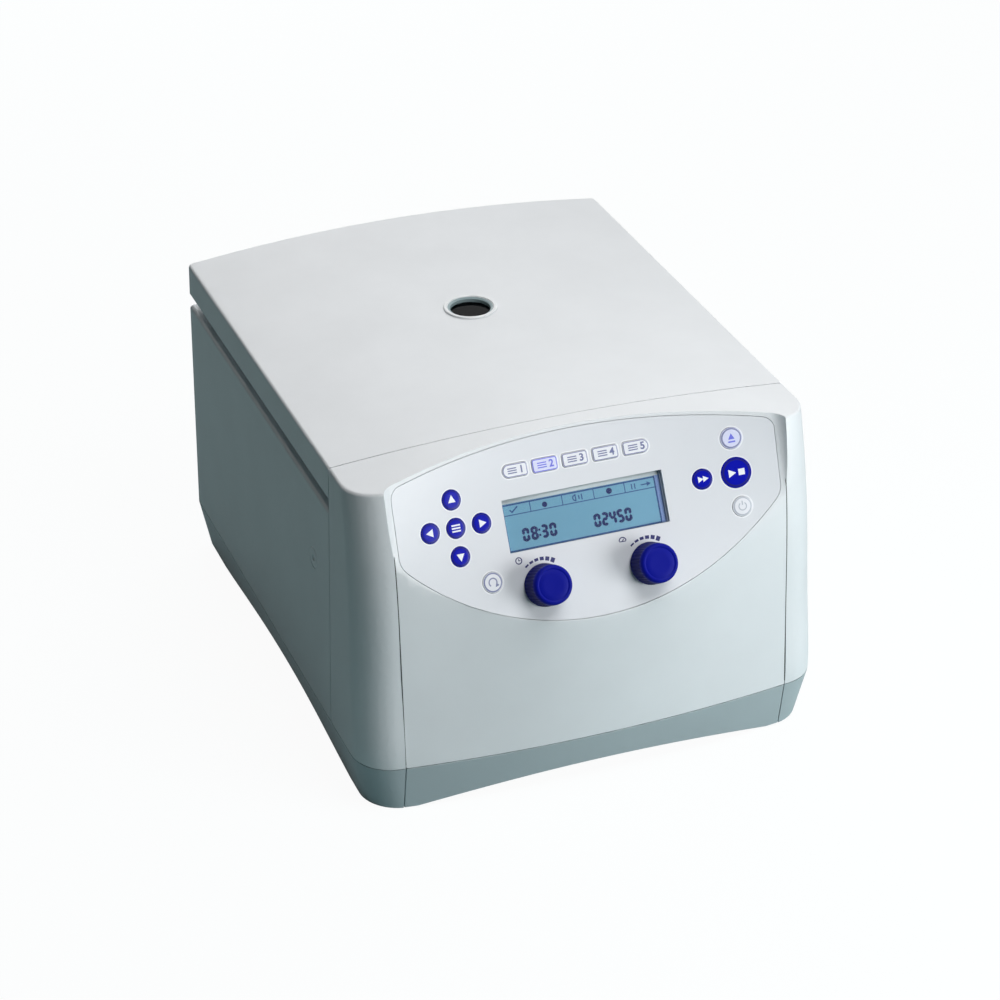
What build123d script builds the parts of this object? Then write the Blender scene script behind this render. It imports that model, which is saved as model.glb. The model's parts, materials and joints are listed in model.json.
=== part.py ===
"""Benchtop microplate centrifuge with a hinged lid, a swing-out plate rotor and a sloping key panel.

Frame: +Z up, front towards -Y, origin under the middle of the machine on the surface it stands on.
Lengths are millimetres.
"""

from build123d import *
from math import cos, radians, sin, sqrt, tan
import os

os.makedirs("parts", exist_ok=True)

# ---------------------------------------------------------------- driving dimensions
# Outer form of the housing
BASE_TOP = 36.0            # joint between the grey base and the pale housing
EDGE_Z = 229.0             # side edges of the top
TOP_Z = 237.5              # middle of the crowned top
BASE_HALF = 165.0          # half width at the base joint
TOP_HALF = 160.0           # half width at the top
FRONT_Y = -200.5           # middle of the bowed front face at the base joint
FRONT_BOW_R = 1000.0       # plan radius of the front face
FRONT_LEAN = 0.0617        # its ends lean back by this much for each mm of height
FRONT_ROLL_Z = 140.0       # above this height the front also rolls back towards the top
FRONT_ROLL = 0.0012
REAR_BASE_Y = 201.0        # rear face at the base joint
REAR_LEAN = 0.034          # the rear face leans out by this much
FRONT_CORNER = 28.0        # plan radius of the front corners
REAR_CORNER = 3.0
BASE_DRAW = 0.18           # the grey base tapers inwards by this much for each mm downwards
SEAM_Y = -120.5            # joint between the lid and the front housing, at the sides
SEAM_BOW = 2.5             # the joint bows forward by this much in the middle
WALL = 3.0
JOINT_GAP = 0.3            # half of the shadow gap between two covers

# Lid
DECK_Z = 197.0             # top of the deck around the chamber
LID_LOW_Z = 200.7          # lowest edge of the lid
LID_SKIRT_Z = 206.7        # where the upright part of the lid's skirt starts
LID_BEVEL = 5.0
LID_WALL = 3.2
LID_REAR_Y = 207.3         # rear of the lid at the sides
LID_REAR_BOW = 4.2
LINER_Z = 201.0
LINER_T = 2.4
LID_CORNER = 4.0
TOP_FILLET = 2.2

# Hinge
HINGE_Y = 206.0
HINGE_Z = 199.0
HINGE_X = 95.0
HINGE_PIN_R = 2.5
KNUCKLE_R = 5.0
HINGE_HALF = 15.0
LID_KNUCKLE_HALF = 5.7

# Sloping control panel: a plane through PANEL_ORIGIN whose ends curve forward near the top
PANEL_TILT = radians(29.65)
PANEL_Y = -157.8
PANEL_Z = 200.0
PANEL_FLAT_Z = 124.0       # below this height the panel has no bow
PANEL_BOW = 22.0 / 108.0   # bow per mm of height, at PANEL_BOW_X from the middle
PANEL_BOW_X = 133.0
RECESS_HALF = 140.0        # half width between the inner faces of the two pillars
RECESS_LOW_R = 1.5         # corner radius of the recess at its foot
RECESS_TOP_R = 14.0
RECESS_TOP_Z = 245.0
CUT_FRONT = -260.0
COVER_HALF = 136.3         # half width of the front cover between the upright joints
COVER_TOP_Z = 190.0
COVER_GAP = 0.6
COVER_LEAN = ((0, 0.0125), (58, 0.0368), (102, 0.0664), (COVER_HALF, FRONT_LEAN))
COVER_T = 2.2
FASCIA_T = 2.6
FASCIA_HALF = 133.0
PANEL_WALL_BACK = 6.6      # depth of the panel wall behind the panel surface, along Y

# Panel features: places are (x, distance up the slope)
WINDOW_SIZE = (112.0, 34.5)
WINDOW_AT = (-0.7, -14.5)
KNOB_AT = {"time": (-37.5, -56.0), "speed": (36.5, -56.0)}
KNOB_BASE_R = 14.1
KNOB_FACE_R = 12.9
KNOB_LIFT = 0.8
KNOB_TOP = 19.0
SHAFT_R = 3.0
KEY_R = 6.5
KEY_PROUD = 0.5
KEY_GAP = 0.3
ROUND_KEYS = {
    "up": (-91.0, 9.6, KEY_R),
    "left": (-109.2, -8.8, KEY_R),
    "menu": (-91.0, -8.8, KEY_R),
    "right": (-72.8, -8.8, KEY_R),
    "down": (-91.0, -27.2, KEY_R),
    "rotor": (-72.2, -47.6, 6.7),
    "open": (104.5, 14.4, 7.0),
    "start": (104.7, -8.5, 10.0),
    "short": (81.6, -8.6, 6.7),
    "power": (105.6, -31.1, 6.5),
}
PROGRAM_X = (-43.8, -22.7, -1.5, 19.7, 40.8)
PROGRAM_V = 20.4
PROGRAM_SIZE = (17.6, 8.8)
STEM_R = 1.8
STEM_END = -19.0
BOARD_W = -20.0            # front of the control board, measured from the panel plane

# Chamber and drive
AXIS_Y = 48.0              # the rotor turns about the upright line x = 0, y = AXIS_Y
BOWL_R = 135.0
BOWL_T = 1.5
BOWL_FLOOR_Z = 77.5
BOWL_FLANGE_R = 147.0
ARMOUR_R = 139.5
ARMOUR_T = 6.0
PIVOT_R = 57.5             # the carriers' pivots stand this far from the axis
PIVOT_Z = 140.0
CARRIER_HALF_W = 44.75
CARRIER_HALF_L = 67.5
CARRIER_DEEP = 33.0
SPINDLE_R = 6.0
CHASSIS_Z = 17.5
CHASSIS_T = 2.0
CHASSIS_TOP = CHASSIS_Z + CHASSIS_T

# Sight glass in the lid, over the middle of the rotor
GLASS_R = 14.3
GLASS_RING_R = 18.9

# Latch
LATCH_Y = -110.0
LATCH_Z = 176.0
LATCH_R = 4.0
LATCH_X = 115.0
LATCH_OPEN = 28.0          # degrees that the hooks stand back when released

ROLL_HEIGHTS = (88.0, FRONT_ROLL_Z, 165.0)      # heights that shape the front as it rolls back

PANEL = Plane(origin=(0, PANEL_Y, PANEL_Z), x_dir=(1, 0, 0), z_dir=(0, -cos(PANEL_TILT), sin(PANEL_TILT)))
CROWN_R = (TOP_HALF**2 + (TOP_Z - EDGE_Z)**2) / (2 * (TOP_Z - EDGE_Z))


# ---------------------------------------------------------------- shared forms
def side_x(z):
    """Half width of the housing at height z."""
    return BASE_HALF - (BASE_HALF - TOP_HALF) * (z - BASE_TOP) / (EDGE_Z - BASE_TOP)


def front_y(x, z, lean=FRONT_LEAN):
    """Front face at a place across it and a height, for a given lean."""
    roll = FRONT_ROLL * max(0.0, z - FRONT_ROLL_Z)**2
    return FRONT_Y + x**2 / (2 * FRONT_BOW_R) + lean * (z - BASE_TOP) + roll


def rear_y(z):
    return REAR_BASE_Y + REAR_LEAN * (z - BASE_TOP)


def crown_z(x):
    return TOP_Z - CROWN_R + sqrt(CROWN_R**2 - x**2)


def panel_y(z):
    """Panel surface in the middle of the machine."""
    return PANEL_Y + tan(PANEL_TILT) * (z - PANEL_Z)


def panel_w(x, v):
    """How far the bowed panel surface stands in front of the panel plane at a place on it."""
    bow = PANEL_BOW * (x / PANEL_BOW_X)**2
    slope = sin(PANEL_TILT) * cos(PANEL_TILT)
    z = (PANEL_Z + v * cos(PANEL_TILT) - PANEL_FLAT_Z * bow * slope) / (1 - bow * slope)
    return bow * (z - PANEL_FLAT_Z) * cos(PANEL_TILT)


def save(part, name):
    part.part.label = name
    export_step(part.part, f"parts/{name}.step")


def bowed_plan(z, half, rear, front_z, draw, inset):
    """Plan at height z with the front of height front_z, drawn back, and with its corners inset."""
    side = front_y(half, front_z) + draw
    middle = front_y(0, front_z) + draw
    with BuildSketch(Plane.XY.offset(z)) as plan:
        with BuildLine():
            ThreePointArc((-half, side), (0, middle), (half, side))
            Polyline((half, side), (half, rear), (-half, rear), (-half, side))
        make_face()
        fillet(plan.vertices().group_by(Axis.Y)[0], FRONT_CORNER - inset)
        fillet(plan.vertices().group_by(Axis.Y)[-1], max(REAR_CORNER - inset, 0.5))
    return plan.sketch


def stack(section, heights, mode=Mode.ADD):
    """A solid through a section at each height, smooth where there are more than two."""
    loft([section(z) for z in heights], ruled=len(heights) == 2, mode=mode)


def housing_block(heights, inset=0.0, mode=Mode.ADD):
    stack(lambda z: bowed_plan(z, side_x(z) - inset, rear_y(z) - inset, z, inset, inset), heights, mode)


def under_crown(drop=0.0):
    """Keeps what lies under the crowned top surface, lowered by drop."""
    reach = BASE_HALF + 5
    with BuildSketch(Plane.XZ) as profile:
        with BuildLine():
            ThreePointArc((-reach, crown_z(reach) - drop), (0, TOP_Z - drop), (reach, crown_z(reach) - drop))
            Polyline(
                (-reach, crown_z(reach) - drop),
                (-reach, -20),
                (reach, -20),
                (reach, crown_z(reach) - drop),
            )
        make_face()
    extrude(profile.sketch, amount=300, both=True, mode=Mode.INTERSECT)


def ahead_of_seam(gap, mode=Mode.INTERSECT):
    """Keeps what lies in front of the bowed joint between lid and front housing."""
    reach = BASE_HALF + 10
    with BuildSketch(Plane.XY.offset(-10)) as plan:
        with BuildLine():
            ThreePointArc((-reach, SEAM_Y - gap), (0, SEAM_Y - SEAM_BOW - gap), (reach, SEAM_Y - gap))
            Polyline(
                (-reach, SEAM_Y - gap),
                (-reach, CUT_FRONT),
                (reach, CUT_FRONT),
                (reach, SEAM_Y - gap),
            )
        make_face()
    extrude(plan.sketch, amount=300, mode=mode)


def recess_section(z, sag, corner, back, margin):
    """Plan of the panel recess at height z: open to the front, with a bowed rear edge."""
    middle = panel_y(z) + back
    side = middle - sag
    half = RECESS_HALF + margin
    with BuildSketch(Plane.XY.offset(z)) as section:
        with BuildLine():
            ThreePointArc((-half, side), (0, middle), (half, side))
            Polyline((-half, side), (-half, CUT_FRONT), (half, CUT_FRONT), (half, side))
        make_face()
        fillet(section.vertices().group_by(Axis.Y)[-1], corner)
    return section.sketch


def recess(back=0.0, margin=0.0, mode=Mode.SUBTRACT):
    """The space in front of the panel surface, moved back and widened by the given amounts."""
    low_sag = 0.4
    top_sag = PANEL_BOW * (RECESS_TOP_Z - PANEL_FLAT_Z) * (RECESS_HALF / PANEL_BOW_X)**2
    foot = recess_section(PANEL_FLAT_Z - 4, low_sag, RECESS_LOW_R, back, margin)
    head = recess_section(RECESS_TOP_Z, top_sag, RECESS_TOP_R, back, margin)
    loft([foot, head], ruled=True, mode=mode)


def fascia_outline(grow=0.0):
    """Outline of the key panel on the panel plane, grown by the given margin."""
    half = FASCIA_HALF
    with BuildSketch(PANEL) as outline:
        with BuildLine():
            ThreePointArc((-half, 22.5), (0, 40.8), (half, 22.5))
            Line((half, 22.5), (half, -26.5))
            ThreePointArc((half, -26.5), (0, -82.9), (-half, -26.5))
            Line((-half, -26.5), (-half, 22.5))
        make_face()
        fillet(outline.vertices().group_by(Axis.Y)[-1], 9)
        fillet(outline.vertices().group_by(Axis.Y)[0], 14)
        if grow:
            offset(amount=grow, kind=Kind.INTERSECTION, mode=Mode.REPLACE)
    return outline.sketch


def cover_section(z, back):
    """Plan of the front cover at height z: a smooth swelling between two upright joints."""
    right = [(x, front_y(x, z, lean) + back) for x, lean in COVER_LEAN]
    left = [(-x, y) for x, y in reversed(right[1:])]
    slope = COVER_HALF / FRONT_BOW_R
    with BuildSketch(Plane.XY.offset(z)) as section:
        with BuildLine():
            Spline(*left, *right, tangents=[(1, -slope), (1, slope)])
            Polyline(left[0], (-COVER_HALF, -150), (COVER_HALF, -150), right[-1])
        make_face()
    return section.sketch


def cover_block(back=0.0, low=BASE_TOP + 0.5, mode=Mode.ADD):
    stack(lambda z: cover_section(z, back), (low, *ROLL_HEIGHTS, COVER_TOP_Z), mode)


def lid_plan(z, inset, front_inset):
    """Plan of the lid at height z, drawn in at the sides and rear by inset."""
    half = side_x(z) - inset
    rear = LID_REAR_Y - inset
    front = SEAM_Y + JOINT_GAP + front_inset
    with BuildSketch(Plane.XY.offset(z)) as plan:
        with BuildLine():
            ThreePointArc((-half, rear), (0, rear + LID_REAR_BOW), (half, rear))
            Line((half, rear), (half, front))
            ThreePointArc((half, front), (0, front - SEAM_BOW), (-half, front))
            Line((-half, front), (-half, rear))
        make_face()
        fillet(plan.vertices().group_by(Axis.Y)[-1], LID_CORNER)
    return plan.sketch


def lid_block(low, high, low_inset, high_inset, front_inset=0.0, mode=Mode.ADD):
    foot = lid_plan(low, low_inset, front_inset)
    head = lid_plan(high, high_inset, front_inset)
    loft([foot, head], ruled=True, mode=mode)


def base_plan(z, inset=0.0):
    """Plan of the grey base at height z; it tapers towards its foot."""
    draw = BASE_DRAW * (BASE_TOP - z) + inset
    return bowed_plan(z, BASE_HALF - draw, REAR_BASE_Y - draw, BASE_TOP, draw, inset)


def base_block(low, high, inset=0.0, mode=Mode.ADD):
    stack(lambda z: base_plan(z, inset), (low, high), mode)


def box_between(low, high, mode=Mode.ADD):
    """A box from its lowest to its highest corner."""
    size = [b - a for a, b in zip(low, high)]
    middle = [(a + b) / 2 for a, b in zip(low, high)]
    with Locations(tuple(middle)):
        Box(*size, mode=mode)


def rod(start, end, radius, mode=Mode.ADD):
    """A round bar between two points."""
    direction = Vector(*end) - Vector(*start)
    with BuildSketch(Plane(origin=start, z_dir=direction)) as section:
        Circle(radius)
    extrude(section.sketch, amount=direction.length, mode=mode)


def turned(points):
    """A ring or shaft turned about the rotor's axis, from (radius, height) points."""
    with BuildSketch(ROTOR_PLANE) as profile:
        with BuildLine():
            Polyline(*points, close=True)
        make_face()
    revolve(profile.sketch, axis=ROTOR_AXIS)


def ring(inner, outer, low, high):
    turned([(inner, low), (outer, low), (outer, high), (inner, high)])


def on_panel(at, radius, low, high, mode=Mode.ADD):
    """A round form square to the panel plane, between two distances from it."""
    with BuildSketch(PANEL.offset(low)) as section:
        with Locations(at):
            Circle(radius)
    extrude(section.sketch, amount=high - low, mode=mode)


def panel_box(at, size, low, high, mode=Mode.ADD):
    with BuildSketch(PANEL.offset(low)) as section:
        with Locations(at):
            Rectangle(*size)
    extrude(section.sketch, amount=high - low, mode=mode)


def program_shape(number, grow=0.0):
    """Outline of a programme key; the first and last have a rounded outer end."""
    width, height = PROGRAM_SIZE
    at = (PROGRAM_X[number - 1], PROGRAM_V)
    with Locations(at):
        RectangleRounded(width + 2 * grow, height + 2 * grow, 1.8 + grow)
    if number in (1, 5):
        outward = -1 if number == 1 else 1
        end = at[0] + outward * (width / 2 + grow)
        with Locations((end - outward * (height / 2 + grow) / 2, at[1])):
            Rectangle(height / 2 + grow, height + 2 * grow, mode=Mode.SUBTRACT)
        with Locations((end - outward * (height / 2 + grow), at[1])):
            Circle(height / 2 + grow)


def key_shape(name, grow=0.0):
    if name.startswith("program"):
        program_shape(int(name[-1]), grow)
    else:
        x, v, radius = ROUND_KEYS[name]
        with Locations((x, v)):
            Circle(radius + grow)


def key_place(name):
    if name.startswith("program"):
        return (PROGRAM_X[int(name[-1]) - 1], PROGRAM_V)
    return ROUND_KEYS[name][:2]


ROTOR_PLANE = Plane(origin=(0, AXIS_Y, 0), x_dir=(1, 0, 0), z_dir=(0, -1, 0))
ROTOR_AXIS = Axis((0, AXIS_Y, 0), (0, 0, 1))
KEYS = list(ROUND_KEYS) + [f"program_{number}" for number in range(1, 6)]
SIDES = (-1, 1)

# ---------------------------------------------------------------- grey base
FOOT_PLACES = [(-128, -150), (128, -150), (-128, 165), (128, 165)]
BASE_SCREWS = [(-140, -120), (140, -120), (-140, 130), (140, 130)]
SKIRT_LOW = 0.8
SKIRT_WALL = 3.5
SKIRT_HALF = COVER_HALF


def base_arches():
    """The lower edge of the base rises between its corners."""
    with BuildSketch(Plane.YZ) as side_arch:
        with BuildLine():
            Spline((-147, 0), (-60, 13.4), (50, 13.4), (162, 0), tangents=[(1, 0.1), (1, -0.1)])
            Polyline((-147, 0), (-147, -5), (162, -5), (162, 0))
        make_face()
    extrude(side_arch.sketch, amount=200, both=True, mode=Mode.SUBTRACT)
    with BuildSketch(Plane.XZ) as end_arch:
        with BuildLine():
            Spline((-131, 0), (-92, 6.6), (-51, 11.3), (0, 13.4), (51, 11.3), (92, 6.6), (131, 0))
            Polyline((-131, 0), (-131, -5), (131, -5), (131, 0))
        make_face()
    extrude(end_arch.sketch, amount=300, both=True, mode=Mode.SUBTRACT)


with BuildPart() as skirt_gap:
    base_block(-2, BASE_TOP + 2, inset=-5)
    base_block(-3, BASE_TOP + 3, inset=SKIRT_WALL + JOINT_GAP, mode=Mode.SUBTRACT)
    box_between((-SKIRT_HALF - 0.5, -250, -5), (SKIRT_HALF + 0.5, -150, 50), mode=Mode.INTERSECT)

with BuildPart() as base_tray:
    base_block(SKIRT_LOW, BASE_TOP - 0.1)
    base_block(CHASSIS_Z, BASE_TOP + 1, inset=SKIRT_WALL, mode=Mode.SUBTRACT)
    base_block(-1, CHASSIS_Z - 3, inset=SKIRT_WALL, mode=Mode.SUBTRACT)
    base_arches()
    add(skirt_gap.part, mode=Mode.SUBTRACT)
    with Locations(*[(x, y, CHASSIS_Z - 1.5) for x, y in BASE_SCREWS]):
        Cylinder(2.1, 6, mode=Mode.SUBTRACT)
save(base_tray, "base_tray")

with BuildPart() as base_front_skirt:
    base_block(SKIRT_LOW, BASE_TOP - 0.1)
    base_block(-1, BASE_TOP + 1, inset=SKIRT_WALL, mode=Mode.SUBTRACT)
    box_between((-SKIRT_HALF, -250, -5), (SKIRT_HALF, -150, 50), mode=Mode.INTERSECT)
    base_arches()
save(base_front_skirt, "base_front_skirt")

with BuildPart() as rubber_feet:
    with Locations(*[(x, y, 0) for x, y in FOOT_PLACES]):
        Cylinder(12, CHASSIS_Z - 3, align=(Align.CENTER, Align.CENTER, Align.MIN))
    fillet(rubber_feet.edges().group_by(Axis.Z)[0], 2)
save(rubber_feet, "rubber_feet")

with BuildPart() as chassis_plate:
    box_between((-150, -165, CHASSIS_Z), (150, 188, CHASSIS_TOP))
    fillet(chassis_plate.edges().filter_by(Axis.Z), 12)
    with Locations(*[(x, y, CHASSIS_Z + 1) for x, y in BASE_SCREWS]):
        Cylinder(2.1, 6, mode=Mode.SUBTRACT)
save(chassis_plate, "chassis_plate")

# ---------------------------------------------------------------- rear and side housing
VENT_X = 108.0
VENT_HALF = 34.0
VENT_Z = [76 + 8 * row for row in range(9)]
VENT_HEIGHT = 4.0
INLET_AT = (106.0, 58.0)
SWITCH_AT = (66.0, 58.0)
INLET_FACE_Y = 200.2
REAR_SCREWS = [(-146, 54), (146, 54), (-146, 172), (146, 172)]
PLUG_AT = (-86.7, 144.3)
PLUG_R = 7.4
LUG_X = 98.0

with BuildPart() as rear_housing:
    housing_block((BASE_TOP + 0.5, DECK_Z))
    box_between((-200, SEAM_Y + JOINT_GAP, 0), (200, 300, 250), mode=Mode.INTERSECT)
    rim = rear_housing.faces().sort_by(Axis.Z)[-1].edges()
    fillet(rim.filter_by(lambda edge: edge.center().Y > SEAM_Y + 5), 2.5)
    housing_block((30, DECK_Z - WALL), inset=WALL, mode=Mode.SUBTRACT)
    ring_hole = Location((0, AXIS_Y, DECK_Z))
    with Locations(ring_hole):
        Cylinder(BOWL_R + 2.8, 20, mode=Mode.SUBTRACT)
    for side in SIDES:
        hinge = side * HINGE_X
        latch = side * LATCH_X
        box_between((latch - 13, -111, 190), (latch + 13, -89, 200), mode=Mode.SUBTRACT)
        box_between((hinge - 16, 199.4, 189), (hinge + 16, 215, 200), mode=Mode.SUBTRACT)
        for low in VENT_Z:
            vent = side * VENT_X
            box_between(
                (vent - VENT_HALF, 190, low),
                (vent + VENT_HALF, 215, low + VENT_HEIGHT),
                mode=Mode.SUBTRACT,
            )
        # Lugs under the deck that carry the latch bar
        lug = side * LUG_X
        box_between((lug - 2, -117, 166), (lug + 2, -103, DECK_Z - WALL))
        rod((lug - 3, LATCH_Y, LATCH_Z), (lug + 3, LATCH_Y, LATCH_Z), LATCH_R + 0.06, Mode.SUBTRACT)
    # Boss and flat for the mains inlet and its switch
    box_between((42, 196, 42), (134, 201, 76))
    box_between((44, INLET_FACE_Y, 44), (132, 215, 72), mode=Mode.SUBTRACT)
    box_between((INLET_AT[0] - 14, 190, 47.5), (INLET_AT[0] + 14, 215, 68.5), mode=Mode.SUBTRACT)
    box_between((SWITCH_AT[0] - 10, 190, 51), (SWITCH_AT[0] + 10, 215, 65), mode=Mode.SUBTRACT)
    rod((-170, *PLUG_AT), (-150, *PLUG_AT), PLUG_R + 0.2, Mode.SUBTRACT)
    for x, z in REAR_SCREWS:
        rod((x, 190, z), (x, 215, z), 2.1, Mode.SUBTRACT)
save(rear_housing, "rear_housing")

with BuildPart() as release_plug:
    plug_face = -side_x(PLUG_AT[1]) - 0.1
    rod((plug_face, *PLUG_AT), (plug_face + 6, *PLUG_AT), PLUG_R)
    rod((plug_face - 1, *PLUG_AT), (plug_face + 0.9, *PLUG_AT), 2.2, Mode.SUBTRACT)
    fillet(release_plug.edges().group_by(Axis.X)[0], 0.5)
save(release_plug, "release_plug")

# ---------------------------------------------------------------- front housing, cover and key panel
FRONT_HEIGHTS = (*ROLL_HEIGHTS, COVER_TOP_Z, 216.0, 242.0)

with BuildPart() as fascia_pocket:
    recess(back=FASCIA_T, mode=Mode.ADD)
    extrude(fascia_outline(grow=0.35), amount=60, both=True, mode=Mode.INTERSECT)

with BuildPart() as panel_wall:
    recess(back=PANEL_WALL_BACK, mode=Mode.ADD)
    recess()
    cover_block(back=COVER_T + 0.2, low=BASE_TOP + 0.5, mode=Mode.INTERSECT)

with BuildPart() as front_cavity:
    housing_block((30, *FRONT_HEIGHTS), inset=WALL)
    under_crown(drop=WALL)
    ahead_of_seam(gap=WALL + JOINT_GAP)
    box_between((-150, -150, 30), (150, -80, DECK_Z - WALL))
    recess(back=PANEL_WALL_BACK, margin=WALL)

with BuildPart() as front_housing:
    housing_block((BASE_TOP + 0.5, *FRONT_HEIGHTS))
    under_crown()
    ahead_of_seam(gap=JOINT_GAP)
    rim = front_housing.faces().sort_by(Axis.Z)[-1].edges()
    fillet(rim.filter_by(lambda edge: edge.center().Y < SEAM_Y - 5), TOP_FILLET)
    box_between((-COVER_HALF - COVER_GAP, -260, 0), (COVER_HALF + COVER_GAP, -150, COVER_TOP_Z), mode=Mode.SUBTRACT)
    recess()
    add(front_cavity.part, mode=Mode.SUBTRACT)
    add(panel_wall.part)
    add(fascia_pocket.part, mode=Mode.SUBTRACT)
    with BuildSketch(PANEL.offset(-14)):
        with BuildLine():
            ThreePointArc((-124, 19.5), (0, 36), (124, 19.5))
            Line((124, 19.5), (124, -24))
            ThreePointArc((124, -24), (0, -76), (-124, -24))
            Line((-124, -24), (-124, 19.5))
        make_face()
    extrude(amount=60, mode=Mode.SUBTRACT)
save(front_housing, "front_housing")

with BuildPart() as front_cover:
    cover_block()
    cover_block(back=COVER_T, low=BASE_TOP - 4, mode=Mode.SUBTRACT)
    recess()
    add(fascia_pocket.part, mode=Mode.SUBTRACT)
save(front_cover, "front_cover")

with BuildPart() as ahead_of_cover:
    box_between((-COVER_HALF + 0.1, -260, 90), (COVER_HALF - 0.1, -155, COVER_TOP_Z - 1))
    cover_block(mode=Mode.SUBTRACT)

with BuildPart() as panel_fascia:
    recess(back=FASCIA_T - 0.15, mode=Mode.ADD)
    recess()
    extrude(fascia_outline(), amount=60, both=True, mode=Mode.INTERSECT)
    add(ahead_of_cover.part, mode=Mode.SUBTRACT)
    panel_box(WINDOW_AT, WINDOW_SIZE, -20, 20, mode=Mode.SUBTRACT)
    for at in KNOB_AT.values():
        on_panel(at, 4.6, -20, 20, mode=Mode.SUBTRACT)
    with BuildSketch(PANEL.offset(-20)):
        for name in KEYS:
            key_shape(name, grow=KEY_GAP)
    extrude(amount=50, mode=Mode.SUBTRACT)
save(panel_fascia, "panel_fascia")

for name in KEYS:
    surface = panel_w(*key_place(name))
    with BuildPart() as key:
        with BuildSketch(PANEL.offset(surface - FASCIA_T)):
            key_shape(name)
        extrude(amount=FASCIA_T + 8)
        recess(back=-KEY_PROUD / cos(PANEL_TILT))
        on_panel(key_place(name), STEM_R, STEM_END, surface - FASCIA_T)
    save(key, f"key_{name}")

WINDOW_LOW = -2.1
with BuildPart() as display_window:
    panel_box(WINDOW_AT, (WINDOW_SIZE[0] - 0.4, WINDOW_SIZE[1] - 0.4), WINDOW_LOW, WINDOW_LOW + 1.2)
save(display_window, "display_window")

with BuildPart() as display_module:
    panel_box(WINDOW_AT, (118, 42), -10.6, -3.2)
    panel_box(WINDOW_AT, (WINDOW_SIZE[0] - 1, WINDOW_SIZE[1] - 1), -3.2, WINDOW_LOW - 0.1)
save(display_module, "display_module")

with BuildPart() as control_board:
    panel_box((0, -20), (230, 82), BOARD_W - 1.6, BOARD_W)
    panel_box((-70, -25), (24, 24), BOARD_W - 5, BOARD_W - 1.6)
    panel_box((20, -30), (30, 16), BOARD_W - 8, BOARD_W - 1.6)
    panel_box((75, -20), (18, 40), BOARD_W - 11, BOARD_W - 1.6)
save(control_board, "control_board")

with BuildPart() as encoders:
    for at in KNOB_AT.values():
        panel_box(at, (13, 13), -9.5, -2.5)
        on_panel(at, 4.2, -2.5, 5)
        on_panel(at, SHAFT_R + 0.05, -8.5, 6, mode=Mode.SUBTRACT)
save(encoders, "encoders")

for name, at in KNOB_AT.items():
    surface = panel_w(*at)
    with BuildPart() as knob:
        with BuildSketch(PANEL.offset(surface + KNOB_LIFT)):
            with Locations(at):
                Circle(KNOB_BASE_R)
        with BuildSketch(PANEL.offset(surface + KNOB_TOP)):
            with Locations(at):
                Circle(KNOB_FACE_R)
        loft(ruled=True)
        fillet(knob.edges().sort_by(lambda edge: -edge.center().Z)[0], 1.2)
        on_panel(at, 6.5, surface, 7, mode=Mode.SUBTRACT)
        on_panel(at, SHAFT_R, -7.8, 8)
    save(knob, f"knob_{name}")

# ---------------------------------------------------------------- chamber
with BuildPart() as chamber_bowl:
    with BuildSketch(ROTOR_PLANE) as bowl_profile:
        with BuildLine():
            Polyline(
                (22, BOWL_FLOOR_Z - BOWL_T),
                (BOWL_R + BOWL_T, BOWL_FLOOR_Z - BOWL_T),
                (BOWL_R + BOWL_T, DECK_Z),
                (BOWL_FLANGE_R, DECK_Z),
                (BOWL_FLANGE_R, DECK_Z + BOWL_T),
                (BOWL_R, DECK_Z + BOWL_T),
                (BOWL_R, BOWL_FLOOR_Z),
                (22, BOWL_FLOOR_Z),
                close=True,
            )
        make_face()
        corners = bowl_profile.vertices().filter_by(lambda point: BOWL_R - 1 < point.X < BOWL_R + 3)
        fillet(corners.group_by(Axis.Y)[0], 18)
        fillet(bowl_profile.vertices().filter_by(
            lambda point: abs(point.X - BOWL_R) < 0.1 and abs(point.Y - BOWL_FLOOR_Z) < 0.1), 16.5)
    revolve(axis=ROTOR_AXIS)
save(chamber_bowl, "chamber_bowl")

ARMOUR_LOW = 84.0
ARMOUR_HIGH = 192.0
LEG_ANGLES = (45, 135, 225, 315)
with BuildPart() as armour_ring:
    ring(ARMOUR_R, ARMOUR_R + ARMOUR_T, CHASSIS_TOP, ARMOUR_HIGH)
    with BuildSketch(Plane.XY.offset(CHASSIS_TOP - 1)):
        with Locations((0, AXIS_Y)):
            Circle(ARMOUR_R + 20)
            for angle in LEG_ANGLES:
                with Locations(Location((0, 0), angle)):
                    with Locations((ARMOUR_R, 0)):
                        Rectangle(40, 24, mode=Mode.SUBTRACT)
    extrude(amount=ARMOUR_LOW - CHASSIS_TOP + 1, mode=Mode.SUBTRACT)
save(armour_ring, "armour_ring")

# ---------------------------------------------------------------- drive
BEARING_R = 13.0
LOWER_BEARING = (28.0, 38.0)
UPPER_BEARING = (74.0, 84.0)
with BuildPart() as motor_housing:
    turned([
        (8, 23), (50, 23), (50, 28), (64, 28), (64, 31), (50, 31), (50, 70), (17, 70), (17, 84),
        (BEARING_R, 84), (BEARING_R, 74), (8, 74), (8, 66), (44, 66), (44, 38), (BEARING_R, 38),
        (BEARING_R, 28), (8, 28),
    ])
save(motor_housing, "motor_housing")

with BuildPart() as motor_stator:
    ring(29, 44, 42, 62)
save(motor_stator, "motor_stator")

with BuildPart() as motor_bearings:
    ring(SPINDLE_R, BEARING_R, *LOWER_BEARING)
    ring(SPINDLE_R, BEARING_R, *UPPER_BEARING)
save(motor_bearings, "motor_bearings")

with BuildPart() as motor_dampers:
    with Locations((0, AXIS_Y, CHASSIS_TOP)):
        with PolarLocations(57, 4, 45):
            Cylinder(7, 28 - CHASSIS_TOP, align=(Align.CENTER, Align.CENTER, Align.MIN))
save(motor_dampers, "motor_dampers")

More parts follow.
